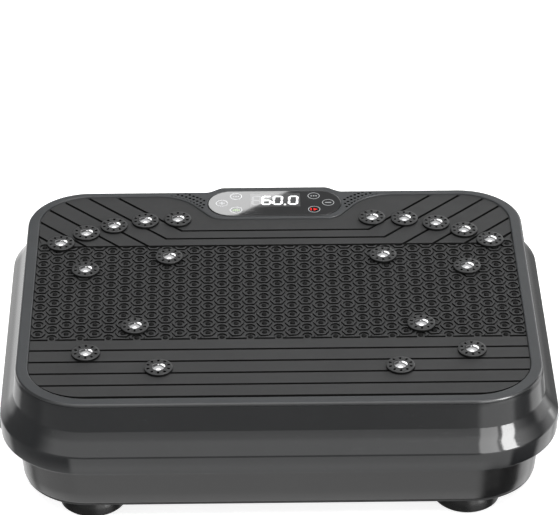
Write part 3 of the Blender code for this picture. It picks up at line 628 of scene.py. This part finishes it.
def repeated(profile, centres, count=10, capped=False):
    """One turned profile at many places: its points plus each centre, its faces counted on by its length."""
    points, blocks = skin(turned(profile, count=count), caps=(False, capped))
    flat = np.concatenate([centres, np.zeros((len(centres), 1))], axis=1)
    stacked = (flat[:, None] + points[None]).reshape(-1, 3)
    shift = np.arange(len(centres))[:, None, None] * len(points)
    return stacked, [(np.atleast_2d(b)[None] + shift).reshape(-1, np.atleast_2d(b).shape[1]) for b in blocks]


NUB_ROOM = [0, 0.003]
whole = in_field(cells) & in_field(cells - NUB_ROOM) & in_field(cells + NUB_ROOM)
whole &= inside(cells * [1.015, 1.0], land_edge)
nub_low = [(0.0025, FLOOR_Z - 0.0001), (0.0022, FLOOR_Z + 0.0013)]
nub_top = [(0.0022, FLOOR_Z + 0.0013), (0.0017, FLOOR_Z + 0.0016), (0.0009, FLOOR_Z + 0.0018)]
# The nubs also wear the near-black painted shade.
mat_parts.append((*repeated(nub_low, cells[whole]), 1))
mat_parts.append((*repeated(nub_top, cells[whole], capped=True), 1))
piece("mat_embossed", mat_parts, [rubber, rubber_painted_shade, web], "deck", ["mat"])
print("cells:", len(near), "nubs:", int(whole.sum()))

# %% [markdown]
# ## Massage knobs
#
# Twenty dark discs are pushed into the mat. Each has ten small blind holes round its edge and a bright
# domed magnet in the middle. One disc is worked out round the origin, and its points are then moved to each
# place, so all twenty are the same moulding. The disc's top is a small set of terraces, the rest are turned
# skins.

# %% Knobs
KNOB_PLACES = ((0.2101, 0.0909), (0.1858, 0.1097), (0.1589, 0.1233), (0.1282, 0.1320), (0.0961, 0.1345),
               (0.1844, 0.0423), (0.1039, 0.0644), (0.1348, -0.0580), (0.1795, -0.1030), (0.1117, -0.1286))
KNOB_TOP, KNOB_LOW, KNOB_RADIUS = 0.1332, 0.1304, 0.0133
MAGNET_RADIUS, SEAT_RADIUS, HOLE_CIRCLE = 0.0063, 0.0067, 0.0101
disc_plastic = finish("knob_plastic", (0.034, 0.0345, 0.035), 0.45, drift=60.0, spread=0.06,
                      grain=0.00001, grain_scale=2500.0, specks=0.1, Specular_IOR_Level=0.35)
# Painted shade: the disc's outer side, the walls and floors of its ten holes and the seat round the magnet
# are near black.
disc_painted_shade = finish("knob_painted_shade", (0.003, 0.003, 0.003), 0.55, tint=0.2, spread=0.08, grain=0.00001,
                   Specular_IOR_Level=0.1)
chrome = finish("magnet_chrome", (0.64, 0.64, 0.65), 0.12, metal=1.0, tint=0.04, drift=120.0,
                grain=0.000003, grain_scale=900.0, scratches=0.12)
hole_angle = np.radians(90 + 36 * np.arange(10))
hole_shape = outline([(-1.6 * MM, -0.9 * MM, 0.55 * MM), (1.25 * MM, -1.35 * MM, 0.55 * MM),
                      (1.25 * MM, 1.35 * MM, 0.55 * MM), (-1.6 * MM, 0.9 * MM, 0.55 * MM)], 2)
spin = np.stack([np.cos(hole_angle), -np.sin(hole_angle), np.sin(hole_angle), np.cos(hole_angle)], axis=1)
holes = np.einsum("nij,mj->nmi", spin.reshape(-1, 2, 2), hole_shape + [HOLE_CIRCLE, 0])
disc_loops = [ring(KNOB_RADIUS - 0.0006, count=40), ring(SEAT_RADIUS, count=28)] + list(holes)
disc_shapes = [(disc_loops[0], 0), (disc_loops[1], -1)] + [(hole, 1) for hole in holes]
disc = terraces(disc_loops, painted(disc_shapes), [(KNOB_TOP, 0, 1), (KNOB_TOP - 0.0020, 1, 1)])
side = turned([(KNOB_RADIUS - 0.0009, KNOB_LOW), (KNOB_RADIUS, KNOB_LOW + 0.0004),
               (KNOB_RADIUS, KNOB_TOP - 0.0007)],
              count=40)
edge = turned([(KNOB_RADIUS, KNOB_TOP - 0.0007), (KNOB_RADIUS - 0.00018, KNOB_TOP - 0.00020),
               (KNOB_RADIUS - 0.0006, KNOB_TOP)], count=40)
seat = turned([(SEAT_RADIUS, KNOB_TOP), (0.0064, KNOB_TOP - 0.0006), (MAGNET_RADIUS, KNOB_TOP - 0.0006)],
              count=28)
tilt = np.linspace(1, 0, 7)[:-1]
cap = [(MAGNET_RADIUS, KNOB_TOP - 0.0006), (MAGNET_RADIUS, KNOB_TOP + 0.0001)]
DOME = 0.52  # slope of the dome at its edge, in radians
DOME_HEIGHT = 0.0016
rise = [(np.cos(t * DOME) - np.cos(DOME)) / (1 - np.cos(DOME)) for t in tilt[1:]]
cap += [(MAGNET_RADIUS * np.sin(t * DOME) / np.sin(DOME), KNOB_TOP + 0.0001 + DOME_HEIGHT * r)
        for t, r in zip(tilt[1:], rise)]
dome = turned(cap, count=28)
knob_parts = disc + [(*skin(side, caps=(True, False)), 1), (*skin(edge), 0), (*skin(seat), 1),
                     (*skin(dome, caps=(False, True)), 2)]
for number, (x, y) in enumerate(KNOB_PLACES, 1):
    for sign, word in ((-1, "left"), (1, "right")):
        moved = [(points + [sign * x, y, 0.0], blocks, mark) for points, blocks, mark in knob_parts]
        name = f"knob_{word}_{number:02d}"
        piece(f"massage_{name}", moved, [disc_plastic, disc_painted_shade, chrome], "deck", [name])

# %% [markdown]
# ## The console lens
#
# The lens is a polished smoked panel. The lit number, the window behind it and the printed rings all lie
# under the same gloss, so they are not separate stickers: the lens's plan is cut along every printed
# outline and each region gets its own ink, level with its neighbours. The number is built from the seven
# bars of such a display.

# %% Shapes of the number
WINDOW = (-0.0240, 0.1573, 0.0258, 0.1826)


def bar(x0, y0, x1, y1, half):
    """A display bar from one end to the other with pointed ends: a hexagon round its centre line."""
    a, b = np.array([x0, y0]), np.array([x1, y1])
    along = (b - a) / np.linalg.norm(b - a)
    across = np.array([-along[1], along[0]])
    return np.array([a, a + (along - across) * half, b - (along + across) * half, b,
                     b - (along - across) * half, a + (along + across) * half])


def digit(bars, x, y, width=0.0080, height=0.0150, half=0.00125, slant=0.06):
    """The chosen bars (a top, b and c right, d low, e and f left, g middle) of one leaning digit."""
    half_y = height / 2
    ends = {"a": (0, height, width, height), "b": (width, height, width, half_y),
            "c": (width, half_y, width, 0), "d": (0, 0, width, 0), "e": (0, half_y, 0, 0),
            "f": (0, height, 0, half_y), "g": (0, half_y, width, half_y)}
    made = [bar(*ends[name], half) for name in bars]
    return [np.stack([x + loop[:, 0] + slant * loop[:, 1], y + loop[:, 1]], axis=1) for loop in made]


# %% Lens
lens_base = finish("lens_smoked", (0.038, 0.0385, 0.0395), 0.012, tint=0.08, spread=0.006, grain=0.00000002,
                   grain_scale=300.0, scratches=0.02, Specular_IOR_Level=0.55)
inks = {
    "window": ((0.100, 0.100, 0.102), 0.0), "lit": ((0.85, 0.85, 0.86), 0.75),
    "ghost": ((0.19, 0.19, 0.195), 0.0),
    "white": ((0.46, 0.47, 0.48), 0.0), "red": ((0.75, 0.03, 0.025), 0.35),
    "green": ((0.22, 0.38, 0.12), 0.0),
    "grey": ((0.30, 0.31, 0.32), 0.0), "deep": ((0.006, 0.009, 0.010), 0.0),
}
lens_finishes = [lens_base]
for name, (colour, glow) in inks.items():
    lens_finishes.append(finish(f"lens_{name}", colour, 0.014, tint=0.05, drift=90.0, spread=0.006,
                                grain=0.00000002,
                                grain_scale=300.0, Specular_IOR_Level=0.55,
                                Emission_Color=(*colour, 1.0), Emission_Strength=glow))
ink = {name: number for number, name in enumerate(inks, 1)}
lens_shapes = [(stadium((WINDOW[2] - WINDOW[0]) / 2, (WINDOW[3] - WINDOW[1]) / 2, 0.0006,
                        ((WINDOW[0] + WINDOW[2]) / 2, (WINDOW[1] + WINDOW[3]) / 2), 2), ink["window"])]
lens_shapes += [(loop, ink["ghost"]) for loop in digit("abcdefg", -0.0222, 0.1618, half=0.0012)]
lens_shapes += [(loop, ink["lit"]) for loop in digit("acdefg", -0.0122, 0.1618)]
lens_shapes += [(loop, ink["lit"]) for loop in digit("abcdef", -0.0010, 0.1618)]
lens_shapes += [(loop, ink["lit"]) for loop in digit("abcdef", 0.0144, 0.1618)]
lens_shapes.append((stadium(0.0012, 0.0014, 0.0009, (0.0105, 0.1612), 3), ink["lit"]))
ICONS = ((-0.0382, 0.1774, "bars", "grey"), (-0.0524, 0.1645, "plus", "grey"),
         (-0.0383, 0.1513, "steps", "green"), (0.0395, 0.1774, "bars", "white"),
         (0.0537, 0.1643, "minus", "white"), (0.0394, 0.1514, "play", "red"))
GLYPHS = {
    "bars": [(x, 0.0, 0.0007, 0.0010) for x in (-0.0024, 0.0, 0.0024)],
    "plus": [(0.0, 0.0, 0.0030, 0.0007), (0.0, 0.0018, 0.0007, 0.0011), (0.0, -0.0018, 0.0007, 0.0011)],
    "steps": [(-0.0028, -0.0006, 0.0006, 0.0016), (-0.0009, 0.0, 0.0006, 0.0024),
              (0.0010, 0.0, 0.0006, 0.0024),
              (0.0029, -0.0006, 0.0006, 0.0016)],
    "minus": [(0.0, 0.0, 0.0031, 0.0008)],
    "play": [(-0.0031, 0.0, 0.0006, 0.0024)],
}
for x, y, glyph, colour in ICONS:
    lens_shapes.append((ring(0.0061, (x, y), 28), ink["white"]))
    lens_shapes.append((ring(0.0053, (x, y), 28), ink["deep"] if glyph in ("play", "steps") else 0))
    for gx, gy, half_x, half_y in GLYPHS[glyph]:
        lens_shapes.append((stadium(half_x, half_y, 0.0003, (x + gx, y + gy), 2), ink[colour]))
    if glyph == "play":
        triangle = np.array([(-0.0006, -0.0026), (0.0038, 0), (-0.0006, 0.0026)]) + [x, y]
        lens_shapes.append((triangle, ink["red"]))
LENS_TOP, LENS_LOW = RIM_TOP + 0.0003, 0.1286
LENS_HOLD = -0.0008  # its flat top starts this far in, past a narrow border
lens_face = [lens_outline(LENS_HOLD)] + [loop for loop, _ in lens_shapes]
levels = [(LENS_TOP, number, 0) for number in range(len(lens_finishes))]
lens_parts = terraces(lens_face, painted([(lens_face[0], 0)] + lens_shapes), levels)
lens_wall = carried(lens_outline, ((0.0, LENS_LOW), (0.0, LENS_TOP - 0.0004), (-0.00012, LENS_TOP - 0.00012),
                                   (-0.0004, LENS_TOP), (LENS_HOLD, LENS_TOP)))
lens_parts.append((*skin(lens_wall, caps=(True, False)), 0))
piece("console_lens", lens_parts, lens_finishes, "deck", ["display_lens"])

# %% [markdown]
# ## The base
#
# Inside the skirt stands the base: a satin wall that leans out slightly, closed below by a floor plate that
# carries the feet. The wall is again a profile carried round the plan. Its rear has two rectangular cutouts
# for the mains socket and the switch. Because the plan already has points at their sides, the faces there
# can simply be left out of the grid, and four strips join the outer skin to the inner one.

# %% Base wall
base_satin = finish("base_satin", (0.008, 0.0080, 0.0081), 0.17, tint=0.07, grain=0.000012,
                    grain_scale=2200.0, specks=0.04, scratches=0.05)


def wall_offset(z):
    """How far the outer face stands from the rim's outline at a height: it leans out in a straight line."""
    return np.interp(z, [0.0194, 0.072], [-0.0036, 0.0020])


heights = [0.0202, CUTOUT_LOW, CUTOUT_HIGH, 0.0712, 0.0720]
outer = [(-0.0046, 0.0184, 0.0), (-0.0038, 0.0192, 0.0)] + [(wall_offset(z), z, 0.0) for z in heights]
outer[-1] = (wall_offset(0.072) - 0.0008, 0.072, 0.0)
inner = [(wall_offset(z) - WALL, z, 0.0) for z in heights[:0:-1]]
inner += [(-0.0066, 0.0224, 0.0), (-0.0130, 0.0224, 0.0), (-0.0130, 0.0184, 0.0)]
base_rows = walls(outer + inner)
points, blocks = skin(base_rows, closed=True)
quads = blocks[0]
middle = points[quads].mean(axis=1)
cut = np.zeros(len(quads), bool)
for low_x, high_x in CUTOUTS:
    cut |= ((middle[:, 0] > low_x) & (middle[:, 0] < high_x) & (middle[:, 1] > 0.15)
            & (middle[:, 2] > CUTOUT_LOW) & (middle[:, 2] < CUTOUT_HIGH))
base_parts = [(points, [quads[~cut]], 0)]
for low_x, high_x in CUTOUTS:
    corners = np.array([(high_x, CUTOUT_LOW), (low_x, CUTOUT_LOW),
                        (low_x, CUTOUT_HIGH), (high_x, CUTOUT_HIGH)])
    outer_y = RIM_HALF_Y + wall_offset(corners[:, 1])
    tunnel = np.stack([np.stack([corners[:, 0], outer_y - WALL, corners[:, 1]], axis=1),
                       np.stack([corners[:, 0], outer_y, corners[:, 1]], axis=1)])
    base_parts.append((*skin(tunnel[::-1]), 0))
piece("base_wall", base_parts, [base_satin], "base", ["base_shell"])

# %% [markdown]
# ## Floor plate and feet
#
# The floor plate is a plain moulded tray lid with a raised border, two rows of air slots under the motor
# and eight screws. From the front only its edge shows, as a thin black line. The feet are soft rubber cups:
# a turned profile with a sealing ring round a shallow hollow.

# %% Floor plate
plate_black = finish("floor_plate_black", (0.014, 0.014, 0.0145), 0.48, spread=0.07, grain=0.00003,
                     grain_scale=1400.0, specks=0.15, Specular_IOR_Level=0.35)
# Painted shade: the floors and walls of the air slots and of the screws' cross recesses are near black.
slot_painted_shade = finish("slot_painted_shade", (0.003, 0.003, 0.003), 0.85, tint=0.2, spread=0.08, Specular_IOR_Level=0.1)
screw_steel = finish("screw_zinc", (0.50, 0.51, 0.52), 0.32, metal=1.0, drift=300.0, spread=0.1,
                     grain=0.00001, scratches=0.2)
PLATE_LOW, PLATE_HIGH = 0.0157, 0.0181
PLATE_FOOT, PLATE_EDGE = -0.0056, -0.0048  # the side leans out from its foot
slots = [stadium(0.0022, 0.016, 0.0021, (x, y), 4)
         for y in (-0.095, -0.050) for x in np.arange(-6, 7) * 0.0085]
ribs = [stadium(0.160, 0.0035, 0.003, (0.0, y), 4) for y in (0.010, 0.110)]
ribs += [stadium(0.0035, 0.034, 0.003, (x, 0.060), 4) for x in (-0.12, -0.04, 0.04, 0.12)]
SCREWS = [(s * x, y) for s in (-1, 1)
          for x, y in ((0.222, -0.090), (0.222, 0.095), (0.090, -0.165), (0.090, 0.165))]
wells = [ring(0.0060, at, 20) for at in SCREWS]
under = [(plan(PLATE_FOOT), 0), (plan(-0.0195), 1)] + [(loop, 0) for loop in ribs]
under += [(loop, 2) for loop in slots] + [(loop, 1) for loop in wells]
under_loops = [loop for loop, _ in under]
flipped = terraces(under_loops, painted(under), [(-PLATE_LOW, 0, 0), (-PLATE_LOW - 0.0006, 0, 0),
                                                 (-PLATE_LOW - 0.0012, 1, 1)])
plate_parts = [(points * [1, 1, -1], [block[:, ::-1] for block in blocks], mark)
               for points, blocks, mark in flipped]
plate_edge = carried(plan, ((PLATE_FOOT, PLATE_LOW), (PLATE_EDGE, PLATE_LOW + 0.0008),
                            (PLATE_EDGE, PLATE_HIGH)))
plate_parts.append((*skin(plate_edge), 0))
plate_parts.append(flat_fill([plan(PLATE_EDGE)], PLATE_HIGH, 0))
piece("floor_plate", plate_parts, [plate_black, slot_painted_shade], "base", ["bottom_plate"])


def screw_head(at, up=-1.0, radius=0.0042, height=0.0016):
    """A pan head with a cross: a turned dome over four recessed corners, pointing down for up = -1."""
    quarter = np.array([(-0.0006, -0.0024), (0.0006, -0.0024), (0.0006, -0.0006)])
    arm = np.concatenate([quarter @ np.linalg.matrix_power([(0, 1), (-1, 0)], n) for n in range(4)])
    arm = outline(np.column_stack([arm, np.full(12, 1e-4)]), 1)
    top = ring(radius * 0.72, count=20)
    # The cross's recess takes finish 1, the near-black painted shade.
    parts = terraces([top, arm], painted([(top, 0), (arm, 1)]), [(height, 0, 1), (height - 0.0009, 1, 1)])
    dome = turned([(radius, 0.0), (radius, height * 0.35), (radius * 0.93, height * 0.7),
                   (radius * 0.72, height)],
                  count=20)
    parts.append((*skin(dome, caps=(True, False)), 0))
    if up < 0:
        parts = [(p * [1, -1, -1], b, mark) for p, b, mark in parts]
    return [(p + np.asarray(at), b, mark) for p, b, mark in parts]


screw_parts = [part for x, y in SCREWS for part in screw_head((x, y, PLATE_LOW + 0.0006))]
piece("floor_screws", screw_parts, [screw_steel, slot_painted_shade], "base")

# %% Feet
foot_rubber = finish("foot_rubber", (0.006, 0.006, 0.006), 0.26, tint=0.15, drift=60.0, grain=0.000008,
                     grain_scale=900.0, specks=0.05, Specular_IOR_Level=0.22)
foot_profile = softened(
    [(0.0001, 0.0060), (0.0130, 0.0054), (0.0205, 0.0028), (0.0240, 0.0), (0.0288, 0.0), (0.0310, 0.0022),
     (0.0306, 0.0062), (0.0262, 0.0154)], (0.0020, 0.0015, 0.0007, 0.0012, 0.0018, 0.0040), 5)
FOOT_X, FOOT_Y = 0.1745, 0.1505
for y, end in ((-FOOT_Y, "front"), (FOOT_Y, "rear")):
    for x, word in ((-FOOT_X, "left"), (FOOT_X, "right")):
        grid = turned(foot_profile, (x, y), 64)
        piece(f"suction_foot_{end}_{word}", [(*skin(grid, caps=(True, True)), 0)], [foot_rubber], "base",
              [f"foot_{end}_{word}"], sharp=50)

# %% [markdown]
# ## Loops for the resistance bands
#
# On each side of the base a bent steel bar stands out from a screwed plate, for the hook of a resistance
# band. The bar is a circle carried along a flat path. The path is half of a squared-off ellipse, which
# leaves the plate at a right angle and runs nearly straight along the side.

# %% Band loops
zinc = finish("loop_zinc", (0.52, 0.53, 0.545), 0.30, metal=1.0, tint=0.10, drift=90.0, spread=0.08,
              grain=0.00001,
              grain_scale=1300.0, scratches=0.15)
LOOP_Y, LOOP_Z = -0.060, 0.028
PLATE_BACK, PLATE_FACE, LOOP_END = 0.2432, 0.2462, 0.2660
LOOP_START = (PLATE_BACK + PLATE_FACE) / 2
SCREW_APART = 0.0215


def swept(path, radius, count=14):
    """A circle carried along a level path: path + radius * (cos a * side + sin a * up)."""
    ahead = np.gradient(path, axis=0)
    ahead /= np.linalg.norm(ahead, axis=1, keepdims=True)
    across = np.cross(ahead, [0.0, 0.0, 1.0])
    angle = np.arange(count) * 2 * np.pi / count
    return (path[:, None] + radius * (np.cos(angle)[None, :, None] * across[:, None]
                                      + np.sin(angle)[None, :, None] * np.array([0.0, 0.0, 1.0])))


for sign, word in ((-1, "left"), (1, "right")):
    a = np.linspace(0, np.pi, 33)
    x = sign * (LOOP_START + (LOOP_END - LOOP_START) * np.sin(a) ** 0.55)
    path = np.stack([x, LOOP_Y - sign * 0.018 * np.cos(a), np.full_like(a, LOOP_Z)], axis=1)
    tube = swept(path, 0.0026)
    face = stadium(0.026, 0.0075, 0.004, (LOOP_Y, LOOP_Z), 6)
    depth = sign * np.array([PLATE_BACK, PLATE_FACE - 0.0005, PLATE_FACE])
    shrink = [face, face, (face - [LOOP_Y, LOOP_Z]) * [0.98, 0.94] + [LOOP_Y, LOOP_Z]]
    plate = np.stack([np.column_stack([np.full(len(f), d), f]) for f, d in zip(shrink, depth)])
    order = slice(None) if sign > 0 else slice(None, None, -1)
    parts = [(*skin(tube[:, ::-1], caps=(True, True)), 0),
             (*skin(plate[:, order], caps=(True, True)), 0)]
    for y in (LOOP_Y - SCREW_APART, LOOP_Y + SCREW_APART):
        for p, b, mark in screw_head((0, 0, 0), up=1.0, radius=0.0030, height=0.0012):
            placed = np.stack([sign * (PLATE_FACE - 0.0002 + p[:, 2]), y + sign * p[:, 0],
                               LOOP_Z + p[:, 1]], axis=1)
            parts.append((placed, b, mark))
    piece(f"band_hook_{word}", parts, [zinc, slot_painted_shade], "base", [f"band_loop_{word}"])

# %% [markdown]
# ## Finishes for the solids that stay
#
# The drive, the plates and the electronics inside the housing keep their own solids, because the fixed
# frame already has their true shape. They get worked finishes: cast metal is coarse, machined steel is
# drawn along its length, and the circuit board is a green laminate.

# %% Remaining finishes
cast = finish("cast_aluminium", (0.42, 0.43, 0.44), 0.50, metal=1.0, drift=60.0, spread=0.08,
              grain=0.00012, grain_scale=700.0)
ground = finish("ground_steel", (0.55, 0.56, 0.57), 0.30, metal=1.0, tint=0.08, drift=40.0, spread=0.08,
                grain=0.00001, scratches=0.25, scratch_along=(1, 0.05, 1))
belt_rubber = finish("belt_rubber", (0.012, 0.012, 0.012), 0.6, tint=0.2, spread=0.08, grain=0.00005,
                     grain_scale=1200.0)
laminate = finish("board_laminate", (0.012, 0.095, 0.040), 0.35, tint=0.25, drift=140.0, spread=0.08,
                  grain=0.00003, grain_scale=500.0, specks=0.5, speck_colour=(0.6, 0.5, 0.3))
black = finish("black_moulding", (0.014, 0.014, 0.015), 0.36, drift=60.0, spread=0.06,
               grain_scale=1800.0, specks=0.12)
cone = finish("speaker_cone", (0.02, 0.02, 0.022), 0.7, tint=0.2, drift=200.0, spread=0.08, grain=0.0001,
              grain_scale=900.0)
KEPT = {  # the start of each solid's name
    cast: ("motor_body", "crank_pulley", "bearing_block", "rock_block", "rod_left", "rod_right"),
    ground: ("deck_plate", "deck_hanger", "rod_bracket", "crank_shaft", "rock_shaft",
             "motor_pulley", "motor_cradle"),
    belt_rubber: ("drive_belt", "buffer"),
    laminate: ("display_module", "power_board"),
    black: ("power_inlet", "power_switch"),
    cone: ("speaker",),
}
dressed = 0
for material, starts in KEPT.items():
    for name in (name for name in nodes if name.startswith(starts)):
        nodes[name].data.materials.clear()
        nodes[name].data.materials.append(material)
        dressed += 1
print("dressed", dressed, "solids")

# %% [markdown]
# ## Stage, light and camera
#
# The floor is a plain pale sheet. A big soft light overhead makes the flat tops even, a lower soft light in
# front gives the flare its lighter band, and one at each side brightens the flanks. The camera stands well
# back with a long lens and looks down at about thirty-two degrees.

# %% Floor
floor_paint = finish("stage_floor", (0.80, 0.80, 0.80), 0.9, tint=0.01, spread=0.02, grain=0.0,
                     Specular_IOR_Level=0.1, Emission_Color=(1.0, 1.0, 1.0, 1.0), Emission_Strength=0.80)
bpy.ops.mesh.primitive_plane_add(size=14.0, location=(0, 0, -0.0002))
floor = bpy.context.object
floor.name = "stage_floor"
floor.data.materials.append(floor_paint)
floor.visible_glossy = False

# %% Surroundings that show in the gloss
world = bpy.data.worlds.new("studio")
bpy.context.scene.world = world
world.use_nodes = True
world.cycles_visibility.diffuse = False
sky = world.node_tree
facing = node(sky, "ShaderNodeSeparateXYZ")
towards = node(sky, "ShaderNodeTexCoord").outputs["Generated"]
sky.links.new(towards, facing.inputs["Vector"])
DEGREE = np.pi / 180
around = maths(sky, "ARCTAN2", facing.outputs["X"], maths(sky, "MULTIPLY", facing.outputs["Y"], -1.0))
height = maths(sky, "ARCSINE", facing.outputs["Z"], 0.0)


def eased(value, start, end, to_start=0.0, to_end=1.0):
    """A smoothstep over an angle in degrees."""
    return remapped(sky, value, start * DEGREE, end * DEGREE, to_start, to_end,
                    interpolation_type="SMOOTHSTEP")


def panel(left, right, low, high, soft, strength):
    """A soft panel of light between two bearings (0 is the front, positive to the right) and two heights."""
    mask = eased(around, left - soft, left + soft)
    mask = maths(sky, "MULTIPLY", mask, eased(around, right - soft, right + soft, 1.0, 0.0))
    mask = maths(sky, "MULTIPLY", mask, eased(height, low - soft, low + soft))
    mask = maths(sky, "MULTIPLY", mask, eased(height, high - soft, high + soft, 1.0, 0.0))
    return maths(sky, "MULTIPLY", mask, strength)


PANELS = (
    (-58, 90, 14, 95, 16, 1.55),  # the wide front panel
    (-24, 54, -43, -31, 4, 1.25),  # the pale floor in front, mirrored by the band
    (-112, 22, -95, -44, 9, 1.58),  # and nearer, mirrored by the base
    (-70, 75, -29, 4, 8, 0.28),
    (41, 59, 9, 52, 1.3, 17.0),  # the strong panel at the right
    (30, 72, 4, 58, 14, 1.3),  # the haze round it
    (11, 35, 8, 52, 1.6, 4.4),  # its dimmer neighbour
    (10, 64, -30, 6, 6, 1.4),
    (98, 133, -64, 12, 7, 1.45),  # low panels behind, right and left
    (133, 166, -64, -32, 6, 0.7),
    (-166, -122, -64, 2, 7, 0.85),
    (122, 172, -1, 28, 3, 2.6),  # a card over the right rear corner
    (30, 98, -95, -37, 7, -0.25),  # the unlit floor in front on the right
    (150, 200, 13, 42, 5, -0.22),  # the dark gap behind
    (-200, -150, 13, 42, 5, -0.22),
    (-200, 200, 46, 73, 5, 0.55),  # the haze round the overhead light
    (-190, -166, -50, -20, 6, 0.6),
    (-200, 200, 73, 95, 6, 2.5),  # overhead
)
sky.nodes["Background"].inputs["Color"].default_value = (1.0, 1.0, 1.0, 1.0)
glow = 0.32
for numbers in PANELS:
    glow = maths(sky, "ADD", panel(*numbers), glow)

# %% A hard-edged card that the lens mirrors
CARD_TOWARDS = Vector((0.0086, 0.8572, 0.5149))
CARD_ACROSS = Vector((-0.4109, 0.4727, -0.7795))


def side_of(vector, threshold, soft):
    """How far the view direction leans along a vector, as a step from 0 to 1."""
    dot = node(sky, "ShaderNodeVectorMath", operation="DOT_PRODUCT")
    sky.links.new(towards, dot.inputs[0])
    dot.inputs[1].default_value = vector
    return remapped(sky, dot.outputs["Value"], threshold - soft, threshold + soft, 0.0, 1.0)


card = maths(sky, "MULTIPLY", side_of(CARD_TOWARDS, 0.9985, 0.0005), side_of(CARD_ACROSS, 0.0, 0.0002))
glow = maths(sky, "ADD", glow, maths(sky, "MULTIPLY", card, 5.6))
sky.links.new(glow, sky.nodes["Background"].inputs["Strength"])


# %% Soft lights
def soft_light(name, at, aim, size, power):
    """A rectangular light at one place that faces another. Its shape doesn't show in the gloss."""
    data = bpy.data.lights.new(name, "AREA")
    data.shape = "RECTANGLE"
    data.size, data.size_y = size
    data.energy = power
    light = bpy.data.objects.new(name, data)
    light.location = at
    light.rotation_euler = (Vector(aim) - Vector(at)).to_track_quat("-Z", "Y").to_euler()
    light.visible_camera = False
    light.visible_glossy = False
    bpy.context.scene.collection.objects.link(light)


soft_light("overhead", (0.0, -0.1, 2.6), (0.0, 0.0, 0.0), (3.2, 3.2), 84.0)
soft_light("rear", (0.0, 0.62, 0.80), (0.0, 0.1, 0.13), (1.3, 0.3), 0.7)
soft_light("front", (0.0, -2.6, 1.5), (0.0, 0.0, 0.1), (2.6, 0.7), 14.0)
soft_light("left", (-1.9, -0.5, 0.7), (-0.25, 0.0, 0.08), (1.3, 1.0), 10.0)
soft_light("right", (1.9, -0.4, 0.7), (0.25, 0.0, 0.08), (1.0, 0.8), 10.0)

# %% Camera
FOCAL = 3250.0  # distance to the picture in units of its 560 across
camera_data = bpy.data.cameras.new("camera")
camera_data.sensor_width = 36.0
camera_data.lens = FOCAL / 560.0 * 36.0
camera_data.clip_end = 50.0
camera = bpy.data.objects.new("camera", camera_data)
right = Vector((0.99985, -0.01753, -0.00052))
up = Vector((0.00971, 0.52915, 0.84847))
ahead = Vector((0.0146, 0.84835, -0.52924))
turn = Matrix((right, up, -ahead)).transposed().to_4x4()
camera.matrix_world = Matrix.Translation(Vector((-0.0423, -2.6172, 1.8028))) @ turn
bpy.context.scene.collection.objects.link(camera)
bpy.context.scene.camera = camera
bpy.context.scene.view_settings.view_transform = "Standard"
